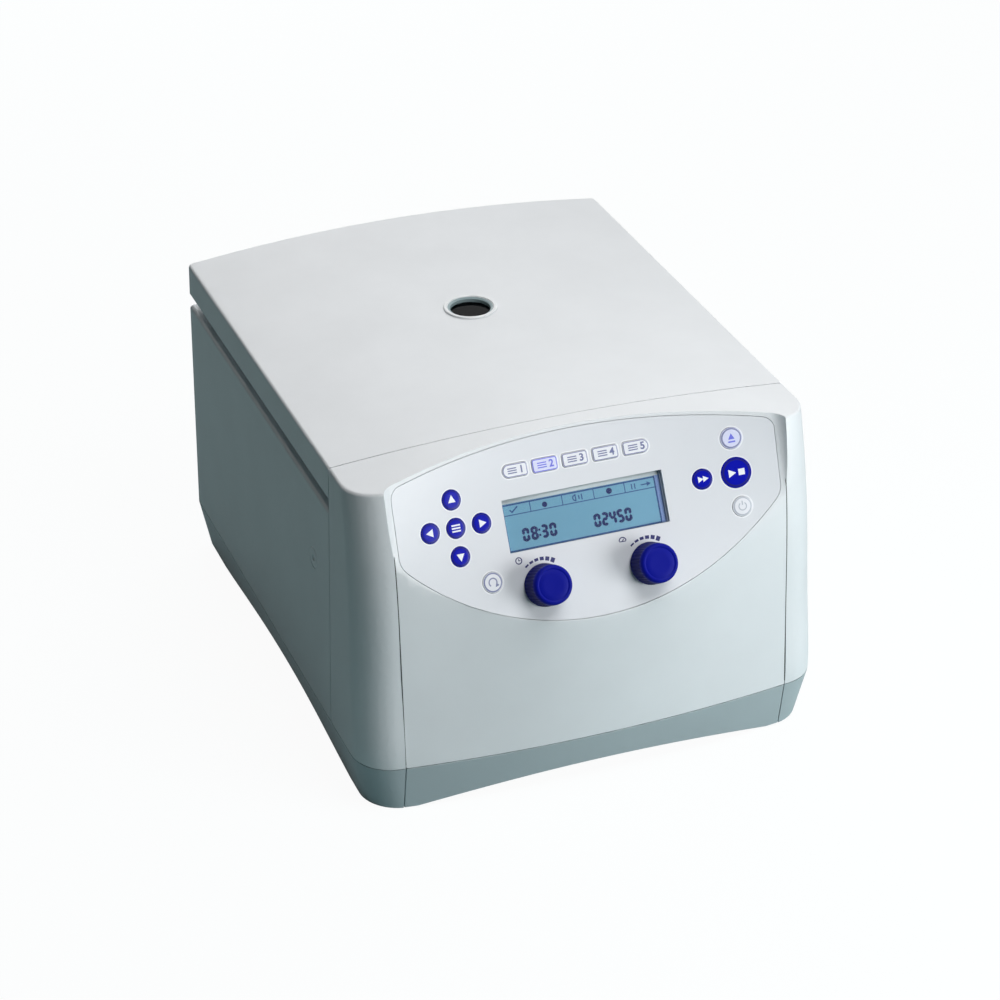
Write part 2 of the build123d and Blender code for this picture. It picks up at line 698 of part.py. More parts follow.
with BuildPart() as motor_shaft:
    turned([
        (0, 24), (SPINDLE_R - 0.03, 24), (SPINDLE_R - 0.03, 44), (28.4, 44), (28.4, 60),
        (SPINDLE_R - 0.03, 60), (SPINDLE_R - 0.03, 160), (4, 160), (4, 172), (0, 172),
    ])
save(motor_shaft, "motor_shaft")

YOKE_HALF = 75.5
YOKE_PLATE_T = 6.0
PIN_R = 4.0
with BuildPart() as rotor_yoke:
    ring(SPINDLE_R, 8.9, 108, 160)
    for side in SIDES:
        near, far = sorted((AXIS_Y + side * 7.5, AXIS_Y + side * YOKE_HALF))
        box_between((-7, near, 130), (7, far, 150))
        plate_y = AXIS_Y + side * (YOKE_HALF - YOKE_PLATE_T / 2)
        with BuildSketch(Plane.XZ.offset(-plate_y - YOKE_PLATE_T / 2)):
            with Locations((0, PIVOT_Z)):
                SlotCenterToCenter(2 * PIVOT_R, 20)
        extrude(amount=YOKE_PLATE_T)
        for end in SIDES:
            rod(
                (end * PIVOT_R, plate_y - 5, PIVOT_Z),
                (end * PIVOT_R, plate_y + 5, PIVOT_Z),
                PIN_R,
                Mode.SUBTRACT,
            )
save(rotor_yoke, "rotor_yoke")

with BuildPart() as carrier_pins:
    for side in SIDES:
        for end in SIDES:
            rod(
                (end * PIVOT_R, AXIS_Y + side * (CARRIER_HALF_L - 4), PIVOT_Z),
                (end * PIVOT_R, AXIS_Y + side * YOKE_HALF, PIVOT_Z),
                PIN_R,
            )
save(carrier_pins, "carrier_pins")

NUT_BORE_R = 4.02
with BuildPart() as rotor_nut:
    with BuildSketch(Plane.XY.offset(160)):
        with Locations((0, AXIS_Y)):
            RegularPolygon(8.6, 6)
            Circle(NUT_BORE_R, mode=Mode.SUBTRACT)
    extrude(amount=9)
save(rotor_nut, "rotor_nut")

CARRIER_WALL_TOP = 18.0    # the long walls end this far below the pivot
EAR_HALF = 14.0
for side, name in zip(SIDES, ("left", "right")):
    middle = side * PIVOT_R
    floor = PIVOT_Z - CARRIER_DEEP
    with BuildPart() as carrier:
        box_between(
            (middle - CARRIER_HALF_W, AXIS_Y - CARRIER_HALF_L, floor),
            (middle + CARRIER_HALF_W, AXIS_Y + CARRIER_HALF_L, PIVOT_Z - CARRIER_WALL_TOP),
        )
        fillet(carrier.edges().filter_by(Axis.Z), 4)
        box_between(
            (middle - CARRIER_HALF_W + 1.2, AXIS_Y - 64.5, floor + 2.5),
            (middle + CARRIER_HALF_W - 1.2, AXIS_Y + 64.5, PIVOT_Z),
            mode=Mode.SUBTRACT,
        )
        for end in SIDES:
            ear = AXIS_Y + end * (CARRIER_HALF_L - 1.5)
            with BuildSketch(Plane.XZ.offset(-ear - 1.5)):
                with Locations((middle, PIVOT_Z - CARRIER_WALL_TOP - 3)):
                    Rectangle(2 * EAR_HALF, 6)
                with Locations((middle, PIVOT_Z - CARRIER_WALL_TOP / 2)):
                    Rectangle(2 * EAR_HALF, CARRIER_WALL_TOP)
                with Locations((middle, PIVOT_Z)):
                    Circle(9)
            extrude(amount=3)
            rod((middle, ear - 4, PIVOT_Z), (middle, ear + 4, PIVOT_Z), PIN_R + 0.06, Mode.SUBTRACT)
    save(carrier, f"carrier_{name}")

# ---------------------------------------------------------------- lid
with BuildPart() as lid_cavity:
    lid_block(LID_SKIRT_Z + 3, 242, LID_WALL, LID_WALL, front_inset=LID_WALL)
    under_crown(drop=LID_WALL)

LIP = LID_BEVEL + LID_WALL
with BuildPart() as lid_shell:
    lid_block(LID_SKIRT_Z, 242, 0, 0)
    lid_block(LID_LOW_Z, LID_SKIRT_Z, LID_BEVEL, 0)
    under_crown()
    rim = lid_shell.faces().sort_by(Axis.Z)[-1].edges()
    fillet(rim.filter_by(lambda edge: edge.center().Y > SEAM_Y + 5), TOP_FILLET)
    lid_block(LID_LOW_Z - 2, LID_SKIRT_Z + 3, LIP, LIP, front_inset=LID_WALL + 1, mode=Mode.SUBTRACT)
    add(lid_cavity.part, mode=Mode.SUBTRACT)
    with Locations(*[(x, y, LINER_Z + LINER_T) for x in (-120, 120) for y in (-90, 40, 170)]):
        Cylinder(5, 27, align=(Align.CENTER, Align.CENTER, Align.MIN))
    with Locations((0, AXIS_Y, 230)):
        Cylinder(16.9, 40, mode=Mode.SUBTRACT)
    for side in SIDES:
        hinge = side * HINGE_X
        box_between((hinge - 17, 195, 198), (hinge + 17, 220, LID_SKIRT_Z), mode=Mode.SUBTRACT)
save(lid_shell, "lid_shell")

with BuildPart() as lid_liner:
    extrude(lid_plan(LINER_Z, LIP + 0.4, LID_WALL + 1.4), amount=LINER_T)
    with Locations((0, AXIS_Y, LINER_Z)):
        Cylinder(17.0, 20, mode=Mode.SUBTRACT)
    for side in SIDES:
        hinge = side * HINGE_X
        box_between((hinge - 17, 199, 195), (hinge + 17, 220, 210), mode=Mode.SUBTRACT)
save(lid_liner, "lid_liner")

with BuildPart() as lid_window_ring:
    turned([
        (13.2, LINER_Z - 0.5), (16.6, LINER_Z - 0.5), (16.6, TOP_Z), (GLASS_RING_R, TOP_Z),
        (GLASS_RING_R, TOP_Z + 0.5), (GLASS_RING_R - 0.5, TOP_Z + 1.0), (16.6, TOP_Z + 1.0),
        (16.1, TOP_Z + 0.4), (GLASS_R + 0.3, TOP_Z - 0.4), (GLASS_R + 0.3, 234.0), (13.2, 234.0),
    ])
save(lid_window_ring, "lid_window_ring")

with BuildPart() as lid_window:
    ring(0, GLASS_R + 0.2, 234.0, 236.2)
save(lid_window, "lid_window")

with BuildPart() as lid_gasket:
    ring(ARMOUR_R, 145.5, DECK_Z + BOWL_T + 0.25, LINER_Z)
save(lid_gasket, "lid_gasket")

STRIKER_Y = -95.0
STRIKER_Z = 182.0
with BuildPart() as lid_strikers:
    for side in SIDES:
        x = side * LATCH_X
        box_between((x - 12, -103, LINER_Z - 2), (x + 12, -87, LINER_Z))
        for leg in SIDES:
            inner, outer = sorted((x + leg * 7.5, x + leg * 10))
            box_between((inner, STRIKER_Y - 3, STRIKER_Z), (outer, STRIKER_Y + 3, LINER_Z - 2))
        rod((x - 10, STRIKER_Y, STRIKER_Z), (x + 10, STRIKER_Y, STRIKER_Z), 3)
save(lid_strikers, "lid_strikers")

# ---------------------------------------------------------------- hinges
with BuildPart() as hinge_brackets:
    for side in SIDES:
        x = side * HINGE_X
        box_between((x - HINGE_HALF, 199.6, 165), (x + HINGE_HALF, 202.0, 188))
        for ear in SIDES:
            near, far = sorted((x + ear * 6, x + ear * HINGE_HALF))
            box_between((near, 199.6, 187), (far, 202.0, HINGE_Z + 2))
            box_between((near, 201.0, HINGE_Z - 4.5), (far, HINGE_Y, HINGE_Z))
            rod((near, HINGE_Y, HINGE_Z), (far, HINGE_Y, HINGE_Z), KNUCKLE_R)
            rod((near - 1, HINGE_Y, HINGE_Z), (far + 1, HINGE_Y, HINGE_Z), HINGE_PIN_R, Mode.SUBTRACT)
save(hinge_brackets, "hinge_brackets")

with BuildPart() as hinge_pins:
    for side in SIDES:
        x = side * HINGE_X
        rod((x - HINGE_HALF, HINGE_Y, HINGE_Z), (x + HINGE_HALF, HINGE_Y, HINGE_Z), HINGE_PIN_R)
save(hinge_pins, "hinge_pins")

with BuildPart() as hinge_arms:
    for side in SIDES:
        x = side * HINGE_X
        box_between((x - 12, 171, LINER_Z - 2.3), (x + 12, 198.5, LINER_Z))
        box_between((x - LID_KNUCKLE_HALF, 198, LINER_Z - 2.3), (x + LID_KNUCKLE_HALF, 204, LINER_Z))
        rod(
            (x - LID_KNUCKLE_HALF, HINGE_Y, HINGE_Z),
            (x + LID_KNUCKLE_HALF, HINGE_Y, HINGE_Z),
            KNUCKLE_R,
        )
        rod((x - 20, HINGE_Y, HINGE_Z), (x + 20, HINGE_Y, HINGE_Z), HINGE_PIN_R + 0.06, Mode.SUBTRACT)
save(hinge_arms, "hinge_arms")

# ---------------------------------------------------------------- latch
HOOK_HALF = 4.0
with BuildPart() as latch_bar:
    rod((-126, LATCH_Y, LATCH_Z), (140, LATCH_Y, LATCH_Z), LATCH_R)
    for side in SIDES:
        x = side * LATCH_X
        hook_plane = Plane(
            origin=(x - HOOK_HALF, LATCH_Y, LATCH_Z),
            x_dir=(0, cos(radians(LATCH_OPEN)), sin(radians(LATCH_OPEN))),
            z_dir=(1, 0, 0),
        )
        with BuildSketch(hook_plane):
            Circle(7)
            with BuildLine():
                Polyline((-5, 0), (-5, 14), (17.5, 14), (17.5, 9.6), (5, 9.6), (5, 0), close=True)
            make_face()
        extrude(amount=2 * HOOK_HALF)
save(latch_bar, "latch_bar")

with BuildPart() as latch_motor:
    box_between((130.5, -121, 150), (152, -100, 190))
    rod((125, LATCH_Y, LATCH_Z), (141, LATCH_Y, LATCH_Z), LATCH_R + 0.06, Mode.SUBTRACT)
    fillet(latch_motor.edges().filter_by(Axis.X).group_by(Axis.Z)[0], 4)
save(latch_motor, "latch_motor")

# ---------------------------------------------------------------- mains and cooling
with BuildPart() as power_board:
    box_between((-150, -30, 25), (-72, 125, 26.6))
    box_between((-146, -20, 26.6), (-100, 30, 60))
    box_between((-92, -24, 26.6), (-78, 110, 50))
    box_between((-140, 86, 26.6), (-104, 118, 48))
    with Locations((-122, 56, 26.6)):
        Cylinder(15, 36, align=(Align.CENTER, Align.CENTER, Align.MIN))
    for x in (-146, -76):
        for y in (-26, 121):
            with Locations((x, y, CHASSIS_TOP)):
                Cylinder(3, 25 - CHASSIS_TOP, align=(Align.CENTER, Align.CENTER, Align.MIN))
save(power_board, "power_board")

FAN_X = -108.0
FAN_Z = 110.0
FAN_Y = 179.0
FAN_T = 18.0
with BuildPart() as fan_frame:
    box_between((FAN_X - 40, FAN_Y, FAN_Z - 40), (FAN_X + 40, FAN_Y + FAN_T, FAN_Z + 40))
    fillet(fan_frame.edges().filter_by(Axis.Y), 5)
    rod((FAN_X, FAN_Y - 1, FAN_Z), (FAN_X, FAN_Y + FAN_T + 1, FAN_Z), 37.5, Mode.SUBTRACT)
    for angle in (45, 135, 225, 315):
        start = (FAN_X, FAN_Y + 1.0, FAN_Z)
        end = (FAN_X + 39 * cos(radians(angle)), FAN_Y + 1.0, FAN_Z + 39 * sin(radians(angle)))
        rod(start, end, 1.0)
    rod((FAN_X, FAN_Y, FAN_Z), (FAN_X, FAN_Y + 2.5, FAN_Z), 16)
    rod((FAN_X, FAN_Y + 2.0, FAN_Z), (FAN_X, FAN_Y + 9, FAN_Z), 2.0)
save(fan_frame, "fan_frame")

BLADES = 7
with BuildPart() as fan_impeller:
    rod((FAN_X, FAN_Y + 4.0, FAN_Z), (FAN_X, FAN_Y + 16.5, FAN_Z), 15)
    rod((FAN_X, FAN_Y + 3.0, FAN_Z), (FAN_X, FAN_Y + 10, FAN_Z), 2.06, Mode.SUBTRACT)
    for blade in range(BLADES):
        with Locations(Location((FAN_X, FAN_Y + 10.2, FAN_Z), (0, 360 / BLADES * blade, 0))):
            with Locations(Location((25, 0, 0), (40, 0, 0))):
                Box(22, 14, 1.4)
save(fan_impeller, "fan_impeller")

ROCKER_Y = 194.0
ROCKER_TILT = 8.0
ROCKER_PIN_R = 1.5
with BuildPart() as power_inlet:
    inlet_x, inlet_z = INLET_AT
    switch_x, switch_z = SWITCH_AT
    box_between((46, INLET_FACE_Y, 45.5), (130, INLET_FACE_Y + 1.4, 70.5))
    box_between((inlet_x - 13.5, 172, 48), (inlet_x + 13.5, INLET_FACE_Y, 68))
    box_between((inlet_x - 12, 184, 50), (inlet_x + 12, 205, 66), mode=Mode.SUBTRACT)
    box_between((switch_x - 9.5, 180, 51.5), (switch_x + 9.5, INLET_FACE_Y, 64.5))
    box_between((switch_x - 8.5, 186, 52.5), (switch_x + 8.5, 205, 63.5), mode=Mode.SUBTRACT)
    pivot = (ROCKER_Y, switch_z)
    rod((switch_x - 12, *pivot), (switch_x + 12, *pivot), ROCKER_PIN_R + 0.06, Mode.SUBTRACT)
    for pin_x, pin_z in ((-7, 2), (0, -2), (7, 2)):
        box_between(
            (inlet_x + pin_x - 1, 183, inlet_z + pin_z - 2),
            (inlet_x + pin_x + 1, 197, inlet_z + pin_z + 2),
        )
save(power_inlet, "power_inlet")

with BuildPart() as switch_rocker:
    rocker_plane = Plane(
        origin=(SWITCH_AT[0] - 5, ROCKER_Y, SWITCH_AT[1]),
        x_dir=(0, cos(radians(ROCKER_TILT)), sin(radians(ROCKER_TILT))),
        z_dir=(1, 0, 0),
    )
    with BuildSketch(rocker_plane):
        with BuildLine():
            Polyline((-3, -3), (6.8, -4.2), (6.0, 0), (6.8, 4.2), (-3, 3), close=True)
        make_face()
    extrude(amount=10)
    rod((switch_x - 9.3, *pivot), (switch_x + 9.3, *pivot), ROCKER_PIN_R)
save(switch_rocker, "switch_rocker")

# ---------------------------------------------------------------- fasteners
with BuildPart() as housing_screws:
    for x, y in BASE_SCREWS:
        rod((x, y, CHASSIS_TOP), (x, y, CHASSIS_Z - 3), 2.0)
        rod((x, y, CHASSIS_Z - 3), (x, y, CHASSIS_Z - 5), 4.0)
    for x, z in REAR_SCREWS:
        seat = rear_y(z + 3.5) + 0.05
        rod((x, 195, z), (x, seat, z), 2.0)
        rod((x, seat, z), (x, seat + 1.8, z), 3.5)
save(housing_screws, "housing_screws")
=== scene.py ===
"""Looks of the benchtop microplate centrifuge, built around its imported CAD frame.

Same frame as the CAD: +Z up, front towards -Y, in metres. Helper functions take millimetres.
"""
import bpy
import json
import math
from mathutils import Matrix, Vector
from mathutils.bvhtree import BVHTree
from mathutils.geometry import tessellate_polygon


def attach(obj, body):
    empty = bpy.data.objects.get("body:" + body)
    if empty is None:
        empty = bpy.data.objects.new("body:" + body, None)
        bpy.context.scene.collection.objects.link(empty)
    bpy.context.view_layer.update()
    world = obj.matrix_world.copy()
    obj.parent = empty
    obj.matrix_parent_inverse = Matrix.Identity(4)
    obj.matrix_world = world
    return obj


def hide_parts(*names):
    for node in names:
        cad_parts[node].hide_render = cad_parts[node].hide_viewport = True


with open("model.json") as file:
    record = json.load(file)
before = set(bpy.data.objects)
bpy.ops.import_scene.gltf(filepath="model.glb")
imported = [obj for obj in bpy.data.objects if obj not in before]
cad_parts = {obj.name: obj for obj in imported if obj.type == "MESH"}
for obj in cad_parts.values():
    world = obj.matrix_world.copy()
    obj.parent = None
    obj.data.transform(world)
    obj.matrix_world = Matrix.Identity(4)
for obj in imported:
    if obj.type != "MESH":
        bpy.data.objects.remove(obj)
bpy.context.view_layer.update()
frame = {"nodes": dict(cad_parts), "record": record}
NODES = frame["nodes"]
MM = 0.001
SCENE = bpy.context.scene

# ---------------------------------------------------------------- camera
CAMERA_AZIMUTH = -0.36462
CAMERA_ELEVATION = 0.52040
CAMERA_ROLL = -0.00594
CAMERA_DISTANCE = 1.97761
CAMERA_TARGET = Vector((-0.02921, -0.0845, 0.15896))
LENS = 105.875
SENSOR_WIDTH = 36.0
CLIP_RANGE = (0.05, 50.0)


def towards(azimuth, elevation):
    """Direction seen from the object; azimuth turns from the front towards +X, in radians."""
    level = math.cos(elevation)
    return Vector((math.sin(azimuth) * level, -math.cos(azimuth) * level, math.sin(elevation)))


def add_camera():
    """The main view: from the front left, somewhat above."""
    back = towards(CAMERA_AZIMUTH, CAMERA_ELEVATION)
    right = Vector((0, 0, 1)).cross(back).normalized()
    upright = Matrix((right, back.cross(right), back)).transposed().to_4x4()
    roll = Matrix.Rotation(CAMERA_ROLL, 4, "Z")
    camera = bpy.data.objects.new("camera", bpy.data.cameras.new("camera"))
    camera.data.lens = LENS
    camera.data.sensor_width = SENSOR_WIDTH
    camera.data.clip_start, camera.data.clip_end = CLIP_RANGE
    camera.matrix_world = Matrix.Translation(CAMERA_TARGET + back * CAMERA_DISTANCE) @ upright @ roll
    SCENE.collection.objects.link(camera)
    SCENE.camera = camera


add_camera()
SCENE.view_settings.view_transform = "Standard"


# ---------------------------------------------------------------- material helpers
MOTTLE_SCALE = 18.0
GLOSS_SCALE = 160.0
SMEAR_SCALE = 60.0
GRAIN_DEPTH = 0.00006
STREAK_DEPTH = 0.00005
STREAK_SHADE = 0.82          # of the metal's colour, in the darkest marks
PLASTIC_GLOSS = (-0.05, 0.07)                                # how far the roughness strays
METAL_GLOSS = (-0.08, 0.12)
SMEAR_GLOSS = 0.06


def new_material(name):
    """A material with a principled shader alone."""
    material = bpy.data.materials.new(name)
    material.use_nodes = True
    tree = material.node_tree
    tree.nodes.clear()
    output = tree.nodes.new("ShaderNodeOutputMaterial")
    shader = tree.nodes.new("ShaderNodeBsdfPrincipled")
    tree.links.new(shader.outputs[0], output.inputs[0])
    return material, tree, shader


def node(tree, kind, **values):
    """A node with its sockets and settings filled in by name."""
    made = tree.nodes.new(kind)
    for key, value in values.items():
        if key in made.inputs:
            made.inputs[key].default_value = value
        else:
            setattr(made, key, value)
    return made


def noise(tree, scale, detail=3.0, rough=0.5, vector=None):
    """Noise in the object's own coordinates; scale is in cycles per metre."""
    made = node(tree, "ShaderNodeTexNoise", Scale=scale, Detail=detail, Roughness=rough)
    if vector is None:
        vector = tree.nodes.new("ShaderNodeTexCoord").outputs["Object"]
    tree.links.new(vector, made.inputs["Vector"])
    return made.outputs["Fac"]


def ramp(tree, value, stops):
    """A colour picked by a value from (place, colour) stops."""
    made = tree.nodes.new("ShaderNodeValToRGB")
    elements = made.color_ramp.elements
    while len(elements) < len(stops):
        elements.new(0.5)
    for element, (place, colour) in zip(elements, stops):
        element.position = place
        element.color = (*colour, 1.0)
    tree.links.new(value, made.inputs[0])
    return made.outputs[0]


def spread(tree, value, low, high):
    """The value between 0 and 1, stretched between low and high."""
    made = tree.nodes.new("ShaderNodeMapRange")
    made.inputs["To Min"].default_value = low
    made.inputs["To Max"].default_value = high
    tree.links.new(value, made.inputs["Value"])
    return made.outputs[0]


def bump(tree, shader, height, strength, distance):
    """Fine relief on a shader; distance is in metres."""
    made = node(tree, "ShaderNodeBump", Strength=strength, Distance=distance)
    tree.links.new(height, made.inputs["Height"])
    tree.links.new(made.outputs[0], shader.inputs["Normal"])


def srgb(red, green, blue):
    """Linear colour for display values between 0 and 255."""
    return tuple(
        value / 255 / 12.92 if value <= 10.3 else ((value / 255 + 0.055) / 1.055) ** 2.4
        for value in (red, green, blue)
    )


def plastic(name, colour, roughness, grain=1400.0, strength=0.18, contrast=0.03, shine=0.5):
    """Moulded plastic: fine spark-eroded grain, faint mottling and uneven gloss."""
    material, tree, shader = new_material(name)
    shader.inputs["Specular IOR Level"].default_value = shine
    dark = tuple(part * (1 - contrast) for part in colour)
    pale = tuple(min(1.0, part * (1 + contrast * 0.6)) for part in colour)
    mottle = noise(tree, MOTTLE_SCALE, 4.0)
    tree.links.new(ramp(tree, mottle, [(0.3, dark), (0.7, pale)]), shader.inputs["Base Color"])
    smooth, rough = (roughness + step for step in PLASTIC_GLOSS)
    gloss = spread(tree, noise(tree, GLOSS_SCALE, 2.0), smooth, rough)
    tree.links.new(gloss, shader.inputs["Roughness"])
    bump(tree, shader, noise(tree, grain, 2.0), strength, GRAIN_DEPTH)
    return material


def metal(name, colour, roughness, stretch=(1, 1, 1), grain=900.0, strength=0.25):
    """Bare metal with drawn or turned marks; stretch squeezes the noise along each axis."""
    material, tree, shader = new_material(name)
    shader.inputs["Metallic"].default_value = 1.0
    place = node(tree, "ShaderNodeMapping")
    place.inputs["Scale"].default_value = stretch
    tree.links.new(tree.nodes.new("ShaderNodeTexCoord").outputs["Object"], place.inputs["Vector"])
    streak = noise(tree, grain, 3.0, 0.6, place.outputs[0])
    dark = tuple(part * STREAK_SHADE for part in colour)
    tree.links.new(ramp(tree, streak, [(0.25, dark), (0.75, colour)]), shader.inputs["Base Color"])
    smooth, rough = (roughness + step for step in METAL_GLOSS)
    tree.links.new(spread(tree, streak, smooth, rough), shader.inputs["Roughness"])
    bump(tree, shader, streak, strength, STREAK_DEPTH)
    return material


def clear(name, colour, alpha, roughness=0.03, shine=0.5):
    """A clear pane that lets light and shadow through, with faint smears in its gloss."""
    material, tree, shader = new_material(name)
    shader.inputs["Base Color"].default_value = (*colour, 1)
    shader.inputs["Alpha"].default_value = alpha
    shader.inputs["Specular IOR Level"].default_value = shine
    smear = spread(tree, noise(tree, SMEAR_SCALE, 3.0), roughness, roughness + SMEAR_GLOSS)
    tree.links.new(smear, shader.inputs["Roughness"])
    return material


# ---------------------------------------------------------------- materials
PALE = srgb(226, 230, 233)
pale_housing = plastic("pale_housing", PALE, 0.42)
grey_base = plastic("grey_base", srgb(172, 184, 188), 0.5)
panel_film = plastic("panel_film", srgb(224, 227, 232), 0.36, 2600.0, 0.06, 0.012)
rubber = plastic("rubber", srgb(32, 32, 33), 0.75, 900.0, 0.3)
black_plastic = plastic("black_plastic", srgb(26, 26, 28), 0.5, 1200.0, 0.25)
zinc = metal("galvanised_steel", srgb(176, 180, 184), 0.38)
steel = metal("polished_steel", srgb(190, 192, 194), 0.25)
chamber = metal("chamber_steel", srgb(196, 199, 201), 0.28)
lid_plate = plastic("lid_plate", srgb(196, 201, 204), 0.45, 800.0, 0.25)
armour = plastic("armour_steel", srgb(95, 100, 103), 0.6)
casting = metal("motor_casting", srgb(150, 153, 156), 0.5)
iron = metal("motor_iron", srgb(90, 86, 82), 0.5)
board = plastic("circuit_board", srgb(18, 82, 44), 0.4)
alloy = metal("rotor_alloy", srgb(176, 180, 184), 0.32)
carrier_alloy = metal("carrier_alloy", srgb(165, 169, 173), 0.36)
knob_blue = plastic("knob_blue", srgb(2, 14, 140), 0.45, 1800.0, 0.1, 0.03, 0.1)
# a darker blue for the knobs' sides: painted shade
knob_side_shade = plastic("knob_side_shade", srgb(3, 10, 92), 0.5, 1800.0, 0.1, 0.03, 0.1)
key_blue = plastic("key_blue", srgb(2, 14, 174), 0.24, 2600.0, 0.03, 0.02, 0.12)
# a darker blue for the rim of the blue keys: painted shade where the dome turns away
key_rim_shade = plastic("key_rim_shade_blue", srgb(2, 4, 120), 0.28, 2600.0, 0.03, 0.02, 0.25)
key_white = plastic("key_white", srgb(240, 242, 248), 0.25, 2600.0, 0.03, 0.01)
key_tint = plastic("key_tint", srgb(224, 227, 252), 0.25, 2600.0, 0.03, 0.01)
white_ink = plastic("white_ink", srgb(246, 248, 252), 0.4, 2600.0, 0.02, 0.01)
grey_ink = plastic("grey_ink", srgb(128, 134, 172), 0.4, 2600.0, 0.02)
pale_ink = plastic("pale_ink", srgb(188, 193, 204), 0.4, 2600.0, 0.02)
violet_ink = plastic("violet_ink", srgb(112, 118, 226), 0.4, 2600.0, 0.02)
slate_ink = plastic("slate_ink", srgb(110, 116, 158), 0.4, 2600.0, 0.02)
navy_ink = plastic("navy_ink", srgb(16, 20, 92), 0.4, 2600.0, 0.02)
bezel = plastic("window_bezel", srgb(222, 226, 228), 0.3)
sight_glass = clear("window_glass", srgb(4, 7, 9), 0.9, 0.02, 0.01)
# grey-teal for the window ring's throat: painted shade
throat_shade_grey = plastic("window_throat_shade", srgb(138, 158, 162), 0.5, 900.0, 0.1)
pane_clear = clear("display_glass", srgb(120, 165, 190), 0.05)
lcd = plastic("display_body", srgb(112, 166, 193), 0.32, 300.0, 0.04, 0.05)
lcd_line = plastic("display_line", srgb(24, 66, 128), 0.4, 900.0, 0.02)
lcd_digit = plastic("display_digit", srgb(28, 22, 88), 0.5, 900.0, 0.02, 0.02, 0.2)
lcd_frame = plastic("display_frame", srgb(202, 210, 212), 0.45)
lcd_side = plastic("display_side", srgb(134, 158, 214), 0.4)
# grey-blue of the display window's right wall in shade: painted shade
lcd_wall_shade = plastic("display_wall_shade", srgb(126, 140, 160), 0.5)
BY_SLOT = {
    "pale_housing": pale_housing, "grey_base": grey_base, "panel_film": panel_film, "rubber": rubber,
    "black_plastic": black_plastic, "galvanised_steel": zinc, "polished_steel": steel,
    "chamber_steel": chamber, "lid_plate": lid_plate, "armour_steel": armour, "motor_casting": casting,
    "motor_iron": iron, "circuit_board": board, "rotor_alloy": alloy, "carrier_alloy": carrier_alloy,
    "knob_blue": knob_blue, "key_blue": key_blue, "key_white": key_white, "key_tint": key_tint,
    "window_bezel": bezel, "window_glass": sight_glass, "display_body": lcd, "display_glass": pane_clear,
    "encoder_metal": zinc,
}


SLOT_OF = {part["node"]: part["material_slot"] for part in frame["record"]["subparts"]}
for part_name, part_slot in SLOT_OF.items():
    part_materials = NODES[part_name].data.materials
    part_materials.clear()
    part_materials.append(BY_SLOT[part_slot])


# ---------------------------------------------------------------- mesh helpers
SHARP_ANGLE = 38


class Face:
    """A flat reference that pieces are laid out on: x and y across it, height off it."""

    def __init__(self, origin, across, upward):
        self.origin = Vector(origin)
        self.across = Vector(across).normalized()
        self.upward = Vector(upward).normalized()
        self.out = self.across.cross(self.upward)

    def point(self, x, y, height=0.0):
        return self.origin + x * self.across + y * self.upward + height * self.out

    def skin(self, tree, x, y, fallback=0.0, start=60.0):
        """Height of a surface over (x, y), seen from in front of this face."""
        hit = tree.ray_cast(self.point(x, y, start) * MM, -self.out)
        return fallback if hit[0] is None else start - hit[3] / MM


def tree_of(name):
    """The surface of a CAD node, for finding heights on it."""
    piece = NODES[name]
    corners = [piece.matrix_world @ corner.co for corner in piece.data.vertices]
    return BVHTree.FromPolygons(corners, [tuple(face.vertices) for face in piece.data.polygons])


def make(name, corners, faces, materials, body, finish=None, smooth=True):
    """A piece from corners in millimetres; finish picks each face's place in materials."""
    mesh = bpy.data.meshes.new(name)
    mesh.from_pydata([corner * MM for corner in corners], [], faces)
    for material in materials:
        mesh.materials.append(material)
    if finish:
        mesh.polygons.foreach_set("material_index", finish)
    mesh.update()
    piece = bpy.data.objects.new(name, mesh)
    SCENE.collection.objects.link(piece)
    if smooth:
        mesh.polygons.foreach_set("use_smooth", [True] * len(faces))
        mesh.set_sharp_from_angle(angle=math.radians(SHARP_ANGLE))
    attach(piece, body)
    return piece


def skinned(loops, closed_start=True, closed_end=True):
    """Corners and faces of a skin through closed loops that have the same number of corners."""
    count = len(loops[0])
    corners = [corner for loop in loops for corner in loop]
    faces = []
    for row in range(len(loops) - 1):
        low = row * count
        high = low + count
        for step in range(count):
            after = (step + 1) % count
            faces.append((low + step, low + after, high + after, high + step))
    if closed_start:
        faces.append(tuple(reversed(range(count))))
    if closed_end:
        faces.append(tuple(range(len(corners) - count, len(corners))))
    return corners, faces


def joined(parts):
    """One list of corners and faces from several."""
    corners, faces = [], []
    for part_corners, part_faces in parts:
        offset = len(corners)
        corners.extend(part_corners)
        faces.extend(tuple(offset + index for index in face) for face in part_faces)
    return corners, faces


def circle(x, y, radius, steps=48):
    """Points around a circle, anticlockwise."""
    angles = [2 * math.pi * step / steps for step in range(steps)]
    return [(x + radius * math.cos(angle), y + radius * math.sin(angle)) for angle in angles]


def turned(face, x, y, profile, steps=48):
    """A turned form from (radius, height) pairs, bottom first."""
    return skinned([
        [face.point(px, py, height) for px, py in circle(x, y, radius, steps)]
        for radius, height in profile
    ])


def ringed(face, x, y, profile, steps=96):
    """A turned ring from a closed profile of (radius, height) pairs."""
    loops = [
        [face.point(px, py, height) for px, py in circle(x, y, radius, steps)]
        for radius, height in [*profile, profile[0]]
    ]
    return skinned(loops, False, False)


def area(loop):
    """Area inside a loop of points, negative where it runs clockwise."""
    pairs = zip(loop, [*loop[1:], loop[0]])
    return sum(ax * by - bx * ay for (ax, ay), (bx, by) in pairs) / 2


